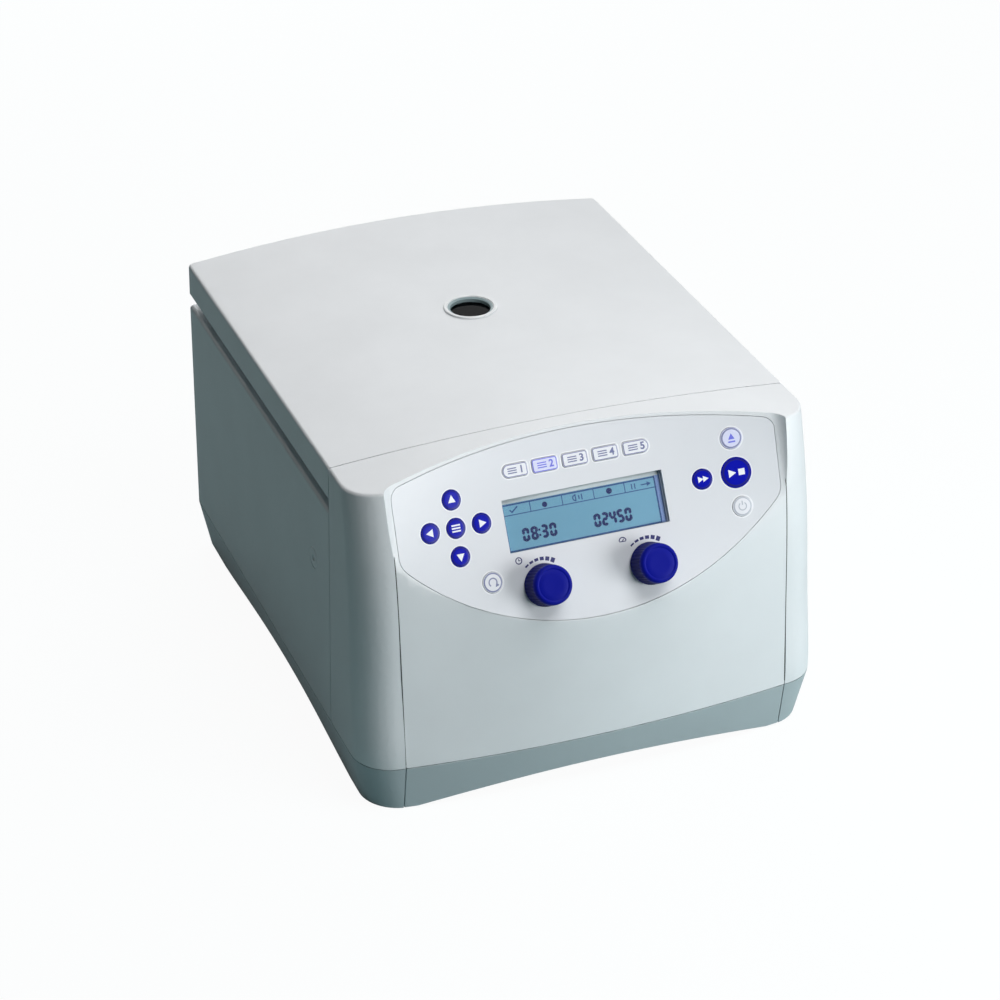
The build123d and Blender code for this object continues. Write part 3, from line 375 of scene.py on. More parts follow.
def slab(face, shape, base, thickness, sunk=0.05):
    """A flat form on a face: shape is an outline and its holes, base gives the surface's height."""
    loops = [loop if (area(loop) > 0) == (place == 0) else loop[::-1] for place, loop in enumerate(shape)]
    flat = [point for loop in loops for point in loop]
    count = len(flat)
    corners = [face.point(x, y, base(x, y) - sunk) for x, y in flat]
    corners += [face.point(x, y, base(x, y) + thickness) for x, y in flat]
    faces = []
    for triple in tessellate_polygon([[Vector((x, y, 0)) for x, y in loop] for loop in loops]):
        if area([flat[index] for index in triple]) < 0:
            triple = triple[::-1]
        faces.append(tuple(count + index for index in triple))
        faces.append(tuple(reversed(triple)))
    first = 0
    for loop in loops:
        for step in range(len(loop)):
            a = first + step
            b = first + (step + 1) % len(loop)
            faces.append((a, b, count + b, count + a))
        first += len(loop)
    return corners, faces


def inlay(name, face, shapes, base, thickness, material, body):
    """Printed or raised marks as one piece."""
    corners, faces = joined(slab(face, shape, base, thickness) for shape in shapes)
    return make(name, corners, faces, [material], body, smooth=False)


# ---------------------------------------------------------------- flat shapes
ARROW_BACK = 0.72            # an arrow's back and half its width, as shares of its reach
ARROW_SIDE = 0.92
LETTER_STEPS = 4
LETTER_WEIGHT = 0.03


def turn(points, x, y, angle):
    """Points turned by an angle in degrees and moved to (x, y)."""
    c, s = math.cos(math.radians(angle)), math.sin(math.radians(angle))
    return [(x + c * px - s * py, y + s * px + c * py) for px, py in points]


def bar(x, y, length, width, angle=0.0):
    """A rectangle about (x, y), turned by an angle in degrees."""
    half, side = length / 2, width / 2
    return [turn([(-half, -side), (half, -side), (half, side), (-half, side)], x, y, angle)]


def block(left, right, low, high):
    """A rectangle between its sides."""
    return [[(left, low), (right, low), (right, high), (left, high)]]


def disc(x, y, radius):
    """A filled circle."""
    return [circle(x, y, radius, 32)]


def band(x, y, inner, outer, start=0.0, end=360.0, steps=36):
    """A ring, or a piece of one between two angles in degrees."""
    if end - start >= 360:
        return [circle(x, y, outer), circle(x, y, inner)]
    angles = [math.radians(start + (end - start) * step / steps) for step in range(steps + 1)]
    outside = [(x + outer * math.cos(angle), y + outer * math.sin(angle)) for angle in angles]
    inside = [(x + inner * math.cos(angle), y + inner * math.sin(angle)) for angle in reversed(angles)]
    return [outside + inside]


def arrow(x, y, radius, angle):
    """A triangle that points along an angle in degrees."""
    back, side = -radius * ARROW_BACK, radius * ARROW_SIDE
    return [turn([(radius, 0), (back, side), (back, -side)], x, y, angle)]


def lettering(face, text, x, y, size, base, thickness):
    """Raised figures in the built-in typeface, centred on (x, y)."""
    curve = bpy.data.curves.new("figures", "FONT")
    curve.body = text
    curve.size = size
    curve.align_x = "CENTER"
    curve.align_y = "CENTER"
    curve.resolution_u = LETTER_STEPS
    curve.offset = LETTER_WEIGHT * size
    holder = bpy.data.objects.new("figures", curve)
    SCENE.collection.objects.link(holder)
    bpy.context.view_layer.update()
    flat = holder.evaluated_get(bpy.context.evaluated_depsgraph_get()).to_mesh()
    corners = [
        face.point(x + corner.co.x, y + corner.co.y, base(x + corner.co.x, y + corner.co.y) + thickness)
        for corner in flat.vertices
    ]
    faces = [tuple(polygon.vertices) for polygon in flat.polygons]
    bpy.data.objects.remove(holder)
    bpy.data.curves.remove(curve)
    return corners, faces


# ---------------------------------------------------------------- reference faces
PANEL_TILT = math.radians(29.65)
PANEL = Face((0, -157.8, 200), (1, 0, 0), (0, math.sin(PANEL_TILT), math.cos(PANEL_TILT)))
TOP = Face((0, 0, 0), (1, 0, 0), (0, 1, 0))
UNDER = Face((0, 0, 0), (1, 0, 0), (0, -1, 0))
FRONT = Face((0, 0, 0), (1, 0, 0), (0, 0, 1))
REAR = Face((0, 0, 0), (-1, 0, 0), (0, 0, 1))
FAR_START = 300.0            # a height outside the body, from which its surfaces are looked for
AXIS_Y = 48.0
FILM_PRINT = 0.05            # thickness of what is printed on the key panel's film
film = tree_of("panel_fascia")


def on_film(x, v):
    """Height of the key panel's film."""
    return PANEL.skin(film, x, v)


# ---------------------------------------------------------------- keys
KEY_GAP = 0.3
ROUND_KEYS = {
    "up": (-91.0, 9.6, 6.5), "left": (-109.2, -8.8, 6.5), "menu": (-91.0, -8.8, 6.5),
    "right": (-72.8, -8.8, 6.5), "down": (-91.0, -27.2, 6.5), "rotor": (-72.2, -47.6, 6.7),
    "open": (104.5, 14.4, 7.0), "start": (104.7, -8.5, 10.0), "short": (81.6, -8.6, 6.7),
    "power": (105.6, -31.1, 6.5),
}
PROGRAM_X = (-43.8, -22.7, -1.5, 19.7, 40.8)
PROGRAM_V = 20.4
PROGRAM_HALF = (8.8, 4.4)
PROGRAM_CORNER = 1.8
LEAST_CORNER = 0.15
CORNER_STEPS = 11
HALO = (0.05, 0.85)          # inner and outer edge of the bright ring beyond a key's gap
PALE_KEYS = {
    "rotor": (grey_ink, key_white), "power": (pale_ink, key_white), "open": (grey_ink, key_tint),
    "program_1": (grey_ink, key_white), "program_2": (violet_ink, key_tint),
    "program_3": (grey_ink, key_white), "program_4": (grey_ink, key_white),
    "program_5": (grey_ink, key_white),
}
KEY_NAMES = [*ROUND_KEYS, *(f"program_{number}" for number in range(1, 6))]
DOME = 0.3
SHOULDER = 0.36              # the cap rises over this share of its half width, then stays level
CAP_ROWS = (0.05, 0.08, 0.13, 0.19, 0.26, SHOULDER, 0.6, 0.85)
RIM_ROWS = 3


def key_size(name):
    """Middle of a key and half of its smaller width."""
    if name in ROUND_KEYS:
        return ROUND_KEYS[name]
    return PROGRAM_X[int(name[-1]) - 1], PROGRAM_V, PROGRAM_HALF[1]


def key_loop(name, inset):
    """Outline of a key, drawn in by inset."""
    x, v, radius = key_size(name)
    if name in ROUND_KEYS:
        return circle(x, v, radius - inset)
    half, tall = PROGRAM_HALF[0] - inset, PROGRAM_HALF[1] - inset
    rounded_side = {"program_1": -1, "program_5": 1}.get(name, 0)
    points = []
    for start, side_x, side_v in ((0, 1, 1), (90, -1, 1), (180, -1, -1), (270, 1, -1)):
        corner = tall if side_x == rounded_side else max(PROGRAM_CORNER - inset, LEAST_CORNER)
        for step in range(CORNER_STEPS + 1):
            angle = math.radians(start + 90 * step / CORNER_STEPS)
            points.append((
                x + side_x * (half - corner) + corner * math.cos(angle),
                v + side_v * (tall - corner) + corner * math.sin(angle),
            ))
    return points


def key_cap(name):
    """The domed film over a key, with a rim ring: printed ink on the pale keys, and a darker blue on the
    blue keys that is painted shade.
    """
    surface = tree_of(f"key_{name}")
    half = key_size(name)[2]
    loops = []
    for place in CAP_ROWS:
        rise = DOME * (1 - max(0.0, 1 - place / SHOULDER) ** 2)
        loops.append([
            PANEL.point(x, v, PANEL.skin(surface, x, v) + rise)
            for x, v in key_loop(name, place * half)
        ])
    corners, faces = skinned(loops, closed_start=False)
    rim_faces = RIM_ROWS * len(loops[0])
    finish = [0 if place < rim_faces else 1 for place in range(len(faces))]
    # the rim rows take printed ink on the pale keys and painted shade on the blue keys
    colours = PALE_KEYS.get(name, (key_rim_shade, key_blue))
    make(f"cap_{name}", corners, faces, colours, f"key_{name}", finish)
    return BVHTree.FromPolygons([corner * MM for corner in corners], faces)


ICONS = {
    "up": [arrow(0, 0.3, 2.9, 90)],
    "down": [arrow(0, -0.3, 2.9, -90)],
    "left": [arrow(-0.3, 0, 2.9, 180)],
    "right": [arrow(0.3, 0, 2.9, 0)],
    "menu": [bar(0, height, 6.0, 1.0) for height in (1.9, 0, -1.9)],
    "start": [arrow(-3.2, 0, 2.9, 0), bar(3.4, 0, 4.2, 4.2)],
    "short": [arrow(-1.5, 0, 2.2, 0), arrow(1.9, 0, 2.2, 0)],
    "open": [arrow(0, 0.9, 2.3, 90), bar(0, -2.4, 4.6, 1.0)],
    "rotor": [band(0, 0, 2.3, 3.1, -40, 230), arrow(2.4, -2.2, 1.5, 225)],
    "power": [band(0, 0, 2.2, 2.9, 125, 415), bar(0, 2.2, 2.8, 0.75, 90)],
}
ICON_INK = {"open": violet_ink, "rotor": grey_ink, "power": pale_ink}
ICON_PRINT = 0.07
PROGRAM_PRINT = 0.06
PROGRAM_LINES = [bar(-2.0, height, 6.4, 0.7) for height in (1.5, 0, -1.5)]
NUMBER_X = 4.6
NUMBER_SIZE = 6.6


def moved(shape, x, v):
    """A shape moved to (x, v)."""
    return [[(x + px, v + pv) for px, pv in loop] for loop in shape]


def key_icon(name, cap):
    """A plain picture on a key, or lines and a number on a programme key."""
    x, v = key_size(name)[:2]
    body, slot_name = f"key_{name}", SLOT_OF[f"key_{name}"]

    def surface(px, pv):
        return PANEL.skin(cap, px, pv)

    if name in ICONS:
        ink = ICON_INK.get(name, white_ink)
        shapes = [moved(shape, x, v) for shape in ICONS[name]]
        inlay(f"icon_{name}", PANEL, shapes, surface, ICON_PRINT, ink, body)
        return
    ink = violet_ink if name == "program_2" else slate_ink
    parts = [slab(PANEL, moved(line, x, v), surface, PROGRAM_PRINT) for line in PROGRAM_LINES]
    parts.append(lettering(PANEL, name[-1], x + NUMBER_X, v, NUMBER_SIZE, surface, PROGRAM_PRINT))
    corners, faces = joined(parts)
    make(f"icon_{name}", corners, faces, [ink], body, smooth=False)


for key_name in KEY_NAMES:
    key_icon(key_name, key_cap(key_name))

halos = [[key_loop(name, -KEY_GAP - HALO[1]), key_loop(name, -KEY_GAP - HALO[0])] for name in KEY_NAMES]
inlay("key_halos", PANEL, halos, on_film, FILM_PRINT, white_ink, "housing")

# ---------------------------------------------------------------- knobs and their scales
KNOBS = {"time": (-37.5, -56.0), "speed": (36.5, -56.0)}
KNOB_TOP = 19.0              # over the film
FILM_PROBE = 9.0             # beside the shaft's hole, where the film is met
SHAFT = ((3.0, -7.8), (3.0, 7.0), (6.4, 7.0))
SKIRT = ((6.4, 0.8), (13.5, 0.8), (14.1, 1.3), (14.1, 2.4), (14.0, 3.0))
CROWN = (
    (13.35, -4.6), (13.2, -3.6), (13.05, -2.0), (12.65, -0.9), (11.8, -0.15), (11.0, 0.0), (10.6, -0.05),
    (10.2, -0.45), (9.8, -0.5), (9.4, -0.3), (6.0, -0.42), (2.0, -0.5),
)
FLUTES = 36
FLUTE_DEPTH = 0.4
FLUTE_STEPS = 8
FLUTED_RINGS = (7, 8)        # rings of the profile between which the flutes run
SHADED_SIDE_ROWS = (4, 9)           # rows of faces on the knob's side that carry the darker blue, painted shade


def knob(name):
    """A turning knob: fluted grip, soft shoulder, fine ring and slightly dished face, with its side in a
    darker blue as painted shade.
    """
    x, v = KNOBS[name]
    surface = on_film(x + FILM_PROBE, v)
    top = surface + KNOB_TOP
    profile = [
        *SHAFT,
        *((radius, surface + height) for radius, height in SKIRT),
        *((radius, top + height) for radius, height in CROWN),
    ]
    steps = FLUTES * FLUTE_STEPS
    loops = []
    for ring, (radius, height) in enumerate(profile):
        depth = FLUTE_DEPTH if ring in FLUTED_RINGS else 0.0
        loop = []
        for step in range(steps):
            angle = 2 * math.pi * step / steps
            reach = radius - depth * (1 + math.cos(FLUTES * angle)) / 2
            loop.append(PANEL.point(x + reach * math.cos(angle), v + reach * math.sin(angle), height))
        loops.append(loop)
    corners, faces = skinned(loops)
    shaded_side_faces = range(SHADED_SIDE_ROWS[0] * steps, SHADED_SIDE_ROWS[1] * steps)
    finish = [1 if place in shaded_side_faces else 0 for place in range(len(faces))]
    body = f"knob_{name}"
    # the side rows take the darker blue, painted shade
    piece = make(f"grip_{name}", corners, faces, [knob_blue, knob_side_shade], body, finish)
    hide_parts(body)


for knob_name in KNOBS:
    knob(knob_name)

MARKS = 6
MARK_R = 17.2
MARK_ANGLES = (124.0, 60.0)
MARK_WIDTHS = (1.1, 3.1)
MARK_LENGTH = 2.8


def scale_marks(x, v):
    """Marks over a knob that grow from thin to bold."""
    shapes = []
    for place in range(MARKS):
        share = place / (MARKS - 1)
        angle = math.radians(MARK_ANGLES[0] + share * (MARK_ANGLES[1] - MARK_ANGLES[0]))
        width = MARK_WIDTHS[0] + share * (MARK_WIDTHS[1] - MARK_WIDTHS[0])
        middle = (x + MARK_R * math.cos(angle), v + MARK_R * math.sin(angle))
        shapes.append(bar(*middle, MARK_LENGTH, width, math.degrees(angle) - 90))
    return shapes


CLOCK_AT = (-52.0, -37.4)
CLOCK = (band(0, 0, 1.7, 2.4), bar(0, 0.5, 1.5, 0.55, 90), bar(0.5, 0, 1.2, 0.55))
GAUGE_AT = (20.8, -37.3)
GAUGE = (band(0, -0.9, 2.0, 2.7, 0, 180), bar(0.4, -0.3, 1.9, 0.6, 50), bar(0, -1.2, 4.6, 0.6))
marks = [shape for place in KNOBS.values() for shape in scale_marks(*place)]
marks += [moved(shape, *CLOCK_AT) for shape in CLOCK]
marks += [moved(shape, *GAUGE_AT) for shape in GAUGE]
inlay("panel_marks", PANEL, marks, on_film, FILM_PRINT, navy_ink, "housing")

# ---------------------------------------------------------------- display
WINDOW_AT = (-0.7, -14.5)
WINDOW_HALF = (55.8, 17.05)
PANE = (-1.2, -0.95)         # back and front of the clear pane
SCREEN = (-55.2, 51.4, -30.8, -0.2)
SCREEN_W = -2.2
SCREEN_PRINT = 0.12
FACE_THICKNESS = 0.08
TOP_THICKNESS = 0.8
TOP_SHORT = 1.4              # what the strip over the screen leaves free at its right end
SIDE_THICKNESS = 0.35
# the grey-blue strip along the window's right edge is painted shade of the recess wall
WALL_THICKNESS = 0.7
WALL_WIDTH = 1.0
HAIR = 0.3                   # half the width of a thin line
BORDER = 1.0                 # width of the dark bands over and at the right of the screen, painted shade of the window's recess
LAP = 0.2                    # how far the left border laps onto the screen
CELL_X = (-36.6, -14.3, 7.8, 29.6)
CELL_V = (-7.8, -1.6)
CELL_MIDDLE = sum(CELL_V) / 2
CELL_ICONS = (
    bar(-47.3, 0.3, 5.4, 0.9, 38), bar(-50.0, -0.6, 2.4, 0.9, -50),
    band(-5.2, 0, 1.3, 2.1, 90, 270), bar(-5.0, 0, 0.8, 4.6), bar(-2.6, 0, 0.8, 2.6),
    bar(-0.6, 0, 0.8, 3.8), bar(34.6, 0, 0.8, 3.6), bar(36.8, 0, 0.8, 3.6),
    bar(43.4, 0, 4.6, 0.8), arrow(46.6, 0, 1.7, 0),
)
CELL_DOTS = (disc(-26.6, -0.3, 1.8), disc(18.6, 0.2, 2.0))
READINGS = (("0830", -45.2, 5.9), ("02450", 4.6, 5.45))      # figures, left end and pitch
FIGURE_SIZE = (5.0, 8.9, 1.95)                               # width, height and stroke of a figure
FIGURE_LOW = -26.4
COLON_GAP = 1.1
COLON = (bar(-33.3, -20.4, 1.4, 1.4), bar(-33.3, -23.9, 1.4, 1.4))
SEGMENTS = {
    "0": "abcdef", "1": "bc", "2": "abged", "3": "abgcd", "4": "fgbc", "5": "afgcd", "6": "afgedc",
    "7": "abc", "8": "abcdefg", "9": "gfabcd",
}
ROW_TRIM = 0.32              # shares of the stroke that keep the segments apart
COLUMN_TRIM = 0.12
COLUMN_SHIFT = 0.06


def level(height):
    """A surface at one height everywhere."""
    return lambda x, v: height


def segment(x, v, half, side, angle):
    """A bar with pointed ends."""
    points = [(-half, 0), (-half + side, -side), (half - side, -side), (half, 0),
              (half - side, side), (-half + side, side)]
    return [turn(points, x, v, angle)]


def seven(figure, left, low, width, height, thick):
    """A figure of a seven-segment display."""
    middle, side = low + height / 2, thick / 2
    rows = {"a": low + height - side, "g": middle, "d": low + side}
    columns = {"b": (left + width - side, 1), "c": (left + width - side, -1),
               "e": (left + side, -1), "f": (left + side, 1)}
    shapes = []
    for name in SEGMENTS[figure]:
        if name in rows:
            half = width / 2 - thick * ROW_TRIM
            shapes.append(segment(left + width / 2, rows[name], half, side, 0))
        else:
            x, direction = columns[name]
            half = height / 4 - thick * COLUMN_TRIM
            shift = height / 4 - thick * COLUMN_SHIFT
            shapes.append(segment(x, middle + direction * shift, half, side, 90))
    return shapes


def in_window(name, shapes, base, thickness, material):
    """Flat shapes at one height inside the display's window."""
    inlay(name, PANEL, shapes, level(base), thickness, material, "housing")


def display():
    """The pane, the screen behind it with a made-up reading, and the edges around the screen. The dark
    bands over and at the right of the screen and the grey-blue strip at the window's right edge are
    painted shade of the recess.
    """
    left, right, low, high = SCREEN
    x, v = WINDOW_AT
    half, tall = WINDOW_HALF
    window = block(x - half, x + half, v - tall, v + tall)
    pane = inlay("display_pane", PANEL, [window], level(PANE[0]), PANE[1] - PANE[0], pane_clear,
                 "housing")
    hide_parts("display_window")
    top = block(x - half, x + half - TOP_SHORT, high, v + tall)
    side = block(right, x + half, v - tall, high)
    wall = block(x + half - WALL_WIDTH, x + half, v - tall, v + tall)
    in_window("display_face", [block(left, right, low, high)], SCREEN_W, FACE_THICKNESS, lcd)
    in_window("display_top", [top], SCREEN_W, TOP_THICKNESS, lcd_frame)
    in_window("display_side", [side], SCREEN_W, SIDE_THICKNESS, lcd_side)
    # a grey-blue strip on the pane's right edge: painted shade of the recess wall
    in_window("display_wall_shade", [wall], PANE[1], WALL_THICKNESS, lcd_wall_shade)
    # the bands over the screen and at its right end are painted shade of the recess; the rest is the
    # display's own print and edge
    lines = [
        block(left, right, CELL_V[1], CELL_V[1] + BORDER),
        block(left, right, CELL_V[0] - HAIR, CELL_V[0] + HAIR),
        block(x - half, right, v - tall, low + HAIR),
        block(x - half, left + LAP, low, high),
        block(right - BORDER, right, low, high),
    ]
    lines += [block(cell - HAIR, cell + HAIR, *CELL_V) for cell in CELL_X]
    lines += [moved(shape, 0, CELL_MIDDLE) for shape in CELL_ICONS]
    in_window("display_lines", lines, SCREEN_W, SCREEN_PRINT, lcd_line)
    figures = [moved(shape, 0, CELL_MIDDLE) for shape in CELL_DOTS]
    for text, start, pitch in READINGS:
        for place, figure in enumerate(text):
            gap = COLON_GAP if text == READINGS[0][0] and place > 1 else 0.0
            figures += seven(figure, start + place * pitch + gap, FIGURE_LOW, *FIGURE_SIZE)
    figures += COLON
    in_window("display_figures", figures, SCREEN_W, SCREEN_PRINT, lcd_digit)


display()

# ---------------------------------------------------------------- fasteners and feet
REAR_SCREWS = ((-146, 54), (146, 54), (-146, 172), (146, 172))
BASE_SCREWS = ((-140, -120), (140, -120), (-140, 130), (140, 130))
LINER_SCREWS = [(x, y) for x in (-120, 120) for y in (-90, 40, 170)]
REAR_SCREW = {"head": 3.5, "height": 1.8, "shank": 2.0, "length": 8.0, "socket": 1.3}
BASE_SCREW = {"head": 4.0, "height": 2.0, "shank": 2.0, "length": 5.0, "socket": 1.5}
LINER_SCREW = {"head": 3.2, "height": 1.2, "shank": 1.6, "length": 2.0, "socket": 1.1}
HEAD_SHAPE = ((1.0, 0.55), (0.9, 0.9), (0.76, 1.0))          # shares of the head's radius and height
SOCKET_DEPTH = 0.72          # share of the head's height
SEAT_PROBE = 3.4             # beside a screw's hole, where the housing is met
CHASSIS_UNDERSIDE = 14.5
LINER_Z = 201.0


def screw(face, x, y, seat, head, height, shank, length, socket):
    """A socket-head screw: shank, rounded head and a six-sided recess."""
    steps = 48
    rows = [(shank, seat - length), (shank, seat), (head, seat)]
    rows += [(head * wide, seat + height * high) for wide, high in HEAD_SHAPE]
    loops = [[face.point(px, py, z) for px, py in circle(x, y, radius, steps)] for radius, z in rows]
    for depth in (0.0, SOCKET_DEPTH):
        loop = []
        for step in range(steps):
            angle = 2 * math.pi * step / steps
            reach = socket / math.cos((angle + math.pi / 6) % (math.pi / 3) - math.pi / 6)
            loop.append(face.point(x + reach * math.cos(angle), y + reach * math.sin(angle),
                                   seat + height * (1 - depth)))
        loops.append(loop)
    return skinned(loops)


def screws():
    """The screws of the rear and the underside, and those of the lid's liner."""
    rear = tree_of("rear_housing")
    parts = []
    for x, z in REAR_SCREWS:
        seat = REAR.skin(rear, -x + SEAT_PROBE, z, start=FAR_START)
        parts.append(screw(REAR, -x, z, seat, **REAR_SCREW))
    parts += [screw(UNDER, x, -y, -CHASSIS_UNDERSIDE, **BASE_SCREW) for x, y in BASE_SCREWS]
    corners, faces = joined(parts)
    piece = make("screw_heads", corners, faces, [steel], "housing")
    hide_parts("housing_screws")
    corners, faces = joined(screw(UNDER, x, -y, -LINER_Z, **LINER_SCREW) for x, y in LINER_SCREWS)
    make("liner_screws", corners, faces, [steel], "lid")


screws()

FOOT_PLACES = ((-128, -150), (128, -150), (-128, 165), (128, 165))
FOOT_PROFILE = (
    (2.6, 2.2), (3.0, 0.6), (8.0, 0.4), (8.4, 0.0), (10.2, 0.0), (11.6, 0.8), (12.0, 2.2), (12.0, 5.6),
    (11.5, 6.0), (11.5, 6.8), (12.0, 7.2), (12.0, CHASSIS_UNDERSIDE),
)


def feet():
    """Rubber feet with a hollow tread and a groove."""
    corners, faces = joined(turned(TOP, x, y, FOOT_PROFILE) for x, y in FOOT_PLACES)
    piece = make("feet", corners, faces, [rubber], "housing")
    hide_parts("rubber_feet")


feet()

# ---------------------------------------------------------------- gasket and seat numbers
GASKET_R = 139.5
GASKET_Z = 198.75
GASKET_WIDTH = 6.0
GASKET_LIPS = (
    (0.0, 0.9), (0.5, 0.2), (1.4, 0.0), (2.0, 0.5), (2.6, 0.9), (3.4, 0.9), (4.0, 0.5), (4.6, 0.0),
    (5.5, 0.2), (GASKET_WIDTH, 0.9),
)


def gasket():
    """A ribbed sealing ring under the lid."""
    profile = [
        (GASKET_R, LINER_Z),
        *((GASKET_R + across, GASKET_Z + height) for across, height in GASKET_LIPS),
        (GASKET_R + GASKET_WIDTH, LINER_Z),
    ]
    corners, faces = ringed(TOP, 0, AXIS_Y, profile, 144)
    piece = make("gasket_lips", corners, faces, [rubber], "lid")
    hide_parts("lid_gasket")


gasket()

SEAT_SIDES = {"left": (-1, "1"), "right": (1, "2")}
SEAT_X = 57.5
NUMBER_AHEAD = 44.0          # from the rotor's axis to a seat's number
SEAT_NUMBER_SIZE = 15.0
SEAT_FLOOR_Z = 109.5
MARK_PRINT = 0.06


def carrier_numbers():
    """A number on the floor of each plate carrier."""
    for name, (side, number) in SEAT_SIDES.items():
        body = f"carrier_{name}"
        seat = tree_of(body)

        def on_seat(x, y):
            return TOP.skin(seat, x, y, SEAT_FLOOR_Z, FAR_START)

        corners, faces = lettering(TOP, number, side * SEAT_X, AXIS_Y - NUMBER_AHEAD, SEAT_NUMBER_SIZE,
                                   on_seat, MARK_PRINT)
        make(f"seat_number_{name}", corners, faces, [navy_ink], body, smooth=False)


carrier_numbers()

# ---------------------------------------------------------------- sight window and cover seams, with painted seam shade
GLASS_Z = (234.02, 234.6)
GLASS_R = 14.55
GLASS_EDGE = 0.15
GLASS_CROWN = (6.0, 0.02)    # radius and rise of the glass's middle
GLASS_STEPS = 96
# profile of the lining of the window ring's throat, grey-teal as painted shade
THROAT_SHADE = ((15.95, 237.83), (14.58, 237.08), (14.58, 234.65), (14.2, 234.65), (14.2, 236.95), (15.7, 237.85))


def sight_window():
    """Dark glass on the ring's ledge, and a grey-teal lining of the ring's throat above it, painted shade
    of the throat.
    """
    low, high = GLASS_Z
    profile = [
        (GLASS_R, low), (GLASS_R, high - GLASS_EDGE), (GLASS_R - GLASS_EDGE, high),
        (GLASS_CROWN[0], high + GLASS_CROWN[1]),
    ]
    corners, faces = turned(TOP, 0, AXIS_Y, profile, GLASS_STEPS)
    piece = make("glass_disc", corners, faces, [sight_glass], "lid")
    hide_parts("lid_window")
    corners, faces = ringed(TOP, 0, AXIS_Y, THROAT_SHADE)
    make("glass_throat_shade", corners, faces, [throat_shade_grey], "lid")


sight_window()

SEAM_X = (136.32, 136.88)
SEAM_DEPTH = (0.1, 2.5)
SEAM_Z = (18, 188)
SEAM_ROWS = 40
SEAM_PROBE = 0.6             # inwards from a seam, where the cover is met
BODY_FRONT = 100             # the cover stands further ahead than this wherever it is met


def cover_seam_shade():
    """Black strips set down in the gaps on both sides of the front cover, painted shade of the seams."""
    cover = tree_of("front_cover")
    inner, outer = SEAM_X
    shallow, deep = SEAM_DEPTH
    section = ((inner, deep), (outer, deep), (outer, shallow), (inner, shallow))
    parts = []
    for side in (-1, 1):
        near = side * (inner - SEAM_PROBE)
        levels = [SEAM_Z[0] + (SEAM_Z[1] - SEAM_Z[0]) * row / SEAM_ROWS for row in range(SEAM_ROWS + 1)]
        found = [(z, FRONT.skin(cover, near, z, start=FAR_START)) for z in levels]
        loops = [
            [FRONT.point(side * x, z, height - depth) for x, depth in section]
            for z, height in found if height > BODY_FRONT
        ]
        parts.append(skinned(loops))
    corners, faces = joined(parts)
    # black strips in the gaps: painted shade of the seams
    make("cover_seam_shade", corners, faces, [black_plastic], "housing", smooth=False)


cover_seam_shade()

# ---------------------------------------------------------------- mains switch
SWITCH_AT = (-66.0, 58.0)
SWITCH_FACE = 200.0
SWITCH_ON = bar(0, 2.3, 0.5, 2.4)
SWITCH_OFF = band(0, -2.3, 0.8, 1.2)


def switch_marks():
    """The plain on and off marks of the rocker."""
    rocker = tree_of("switch_rocker")

    def on_rocker(x, z):
        return REAR.skin(rocker, x, z, SWITCH_FACE, FAR_START)

    shapes = [moved(SWITCH_ON, *SWITCH_AT), moved(SWITCH_OFF, *SWITCH_AT)]
    inlay("switch_marks", REAR, shapes, on_rocker, MARK_PRINT, white_ink, "switch_rocker")


switch_marks()

# ---------------------------------------------------------------- soft edges
SOFT_EDGES = {
    "front_housing": 0.25, "lid_shell": 0.5, "front_cover": 0.2, "rear_housing": 0.5, "base_tray": 0.6,
    "base_front_skirt": 0.6, "panel_fascia": 0.25,
}
WELD_REACH = 0.02
EDGE_SEGMENTS = 3
EDGE_ANGLE = 40
SHADING_WEIGHT = 90


def soften(name, width):
    """Rounds a shell's sharp edges as a mould leaves them."""
    piece = NODES[name]
    weld = piece.modifiers.new("weld", "WELD")
    weld.merge_threshold = WELD_REACH * MM
    rounded = piece.modifiers.new("soft_edges", "BEVEL")
    rounded.width = width * MM
    rounded.segments = EDGE_SEGMENTS
    rounded.limit_method = "ANGLE"
    rounded.angle_limit = math.radians(EDGE_ANGLE)
    rounded.use_clamp_overlap = True
    even = piece.modifiers.new("even_shading", "WEIGHTED_NORMAL")
    even.mode = "FACE_AREA"
    even.weight = SHADING_WEIGHT
    even.keep_sharp = False


for shell_name, edge_width in SOFT_EDGES.items():
    soften(shell_name, edge_width)

# ---------------------------------------------------------------- floor, world and lamps
FLOOR_REACH = 6.0
FLOOR_COLOUR = (0.36, 0.54, 0.56)
FLOOR_STRENGTH = 1.06
FLOOR_GLOW = 0.9             # how much of the floor the camera sees as plain white
FLOOR_SHEEN = 0.15           # how much of that white the object's gloss reflects


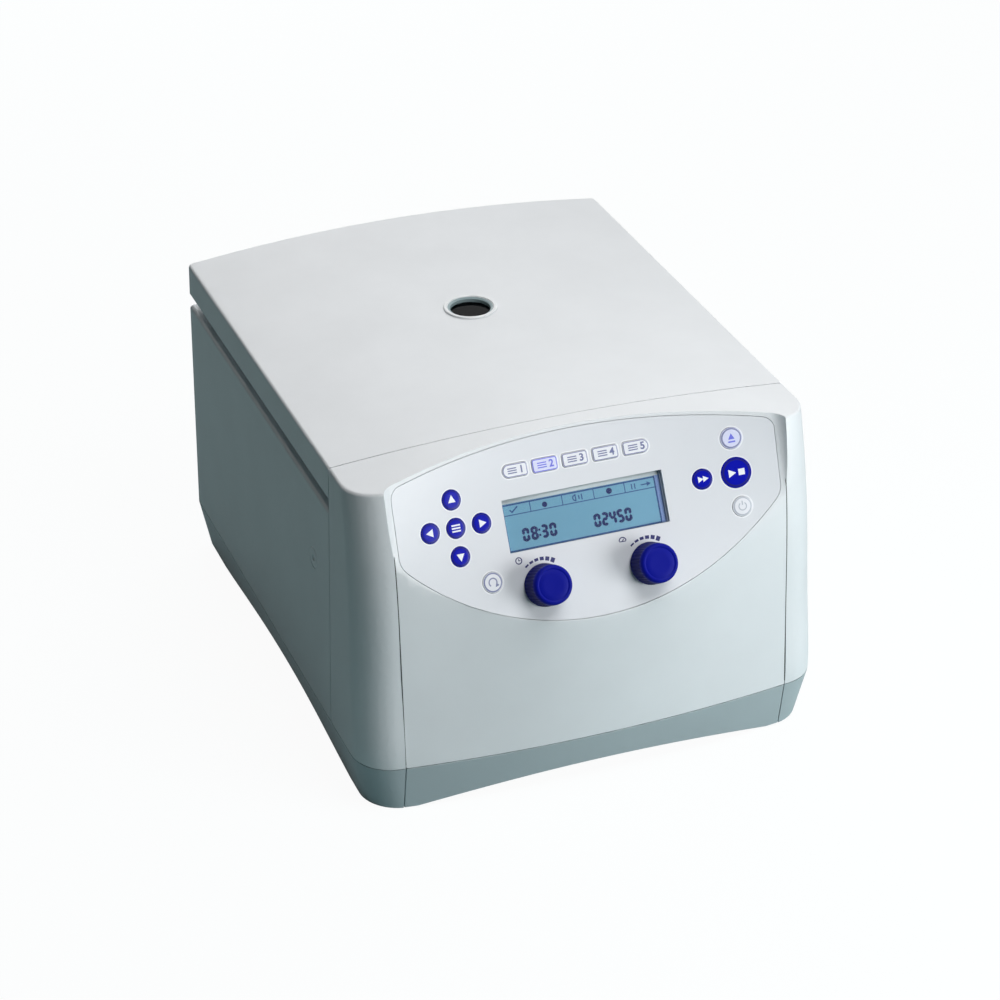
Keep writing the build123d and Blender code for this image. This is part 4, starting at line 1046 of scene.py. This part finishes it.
def add_floor():
    """A pale floor that shows white to the camera and keeps the object's shadow."""
    mesh = bpy.data.meshes.new("floor")
    reach = FLOOR_REACH
    corners = [(-reach, -reach, 0), (reach, -reach, 0), (reach, reach, 0), (-reach, reach, 0)]
    mesh.from_pydata(corners, [], [(0, 1, 2, 3)])
    floor = bpy.data.objects.new("floor", mesh)
    SCENE.collection.objects.link(floor)
    material, tree, shader = new_material("floor_white")
    shader.inputs["Base Color"].default_value = (*FLOOR_COLOUR, 1)
    shader.inputs["Roughness"].default_value = 0.9
    shader.inputs["Specular IOR Level"].default_value = 0.0
    glow = node(tree, "ShaderNodeEmission", Strength=FLOOR_STRENGTH, Color=(1, 1, 1, 1))
    seen = tree.nodes.new("ShaderNodeLightPath")
    sheen = node(tree, "ShaderNodeMath", operation="MULTIPLY")
    sheen.inputs[1].default_value = FLOOR_SHEEN
    either = node(tree, "ShaderNodeMath", operation="MAXIMUM")
    any_of = node(tree, "ShaderNodeMath", operation="MAXIMUM")
    share = node(tree, "ShaderNodeMath", operation="MULTIPLY")
    share.inputs[1].default_value = FLOOR_GLOW
    mix = tree.nodes.new("ShaderNodeMixShader")
    tree.links.new(seen.outputs["Is Glossy Ray"], sheen.inputs[0])
    tree.links.new(seen.outputs["Is Camera Ray"], either.inputs[0])
    tree.links.new(seen.outputs["Is Transmission Ray"], either.inputs[1])
    tree.links.new(either.outputs[0], any_of.inputs[0])
    tree.links.new(sheen.outputs[0], any_of.inputs[1])
    tree.links.new(any_of.outputs[0], share.inputs[0])
    tree.links.new(share.outputs[0], mix.inputs[0])
    tree.links.new(shader.outputs[0], mix.inputs[1])
    tree.links.new(glow.outputs[0], mix.inputs[2])
    tree.links.new(mix.outputs[0], tree.nodes["Material Output"].inputs[0])
    mesh.materials.append(material)


def add_world():
    """White to the camera and in gloss and glass, and no light of its own."""
    world = bpy.data.worlds.new("studio")
    SCENE.world = world
    world.use_nodes = True
    tree = world.node_tree
    tree.nodes.clear()
    output = tree.nodes.new("ShaderNodeOutputWorld")
    dark = node(tree, "ShaderNodeBackground", Strength=0.0)
    bright = node(tree, "ShaderNodeBackground", Strength=1.0, Color=(1, 1, 1, 1))
    seen = tree.nodes.new("ShaderNodeLightPath")
    mix = tree.nodes.new("ShaderNodeMixShader")
    either = node(tree, "ShaderNodeMath", operation="MAXIMUM")
    any_of = node(tree, "ShaderNodeMath", operation="MAXIMUM")
    tree.links.new(seen.outputs["Is Camera Ray"], either.inputs[0])
    tree.links.new(seen.outputs["Is Glossy Ray"], either.inputs[1])
    tree.links.new(either.outputs[0], any_of.inputs[0])
    tree.links.new(seen.outputs["Is Transmission Ray"], any_of.inputs[1])
    tree.links.new(any_of.outputs[0], mix.inputs[0])
    tree.links.new(dark.outputs[0], mix.inputs[1])
    tree.links.new(bright.outputs[0], mix.inputs[2])
    tree.links.new(mix.outputs[0], output.inputs[0])


LAMP_AIM = Vector((0, 0, 0.12))


def lamp(name, azimuth, elevation, distance, size, power):
    """A round softbox aimed at the object, placed by its direction in degrees and distance in metres."""
    data = bpy.data.lights.new(name, "AREA")
    data.shape = "DISK"
    data.size = size
    data.energy = power
    made = bpy.data.objects.new(name, data)
    direction = towards(math.radians(azimuth), math.radians(elevation))
    made.location = LAMP_AIM + direction * distance
    made.rotation_euler = (-direction).to_track_quat("-Z", "Y").to_euler()
    SCENE.collection.objects.link(made)


add_floor()
add_world()
lamp("key_high", 20, 60, 1.3, 0.8, 9.2)
lamp("key_low", 40, 5, 1.3, 0.8, 9.8)
lamp("rear_right", 140, 40, 2.4, 1.2, 12.2)
lamp("rear", 170, 30, 2.4, 1.2, 8.6)
lamp("back_fill", 180, 8, 2.4, 1.2, 8.0)
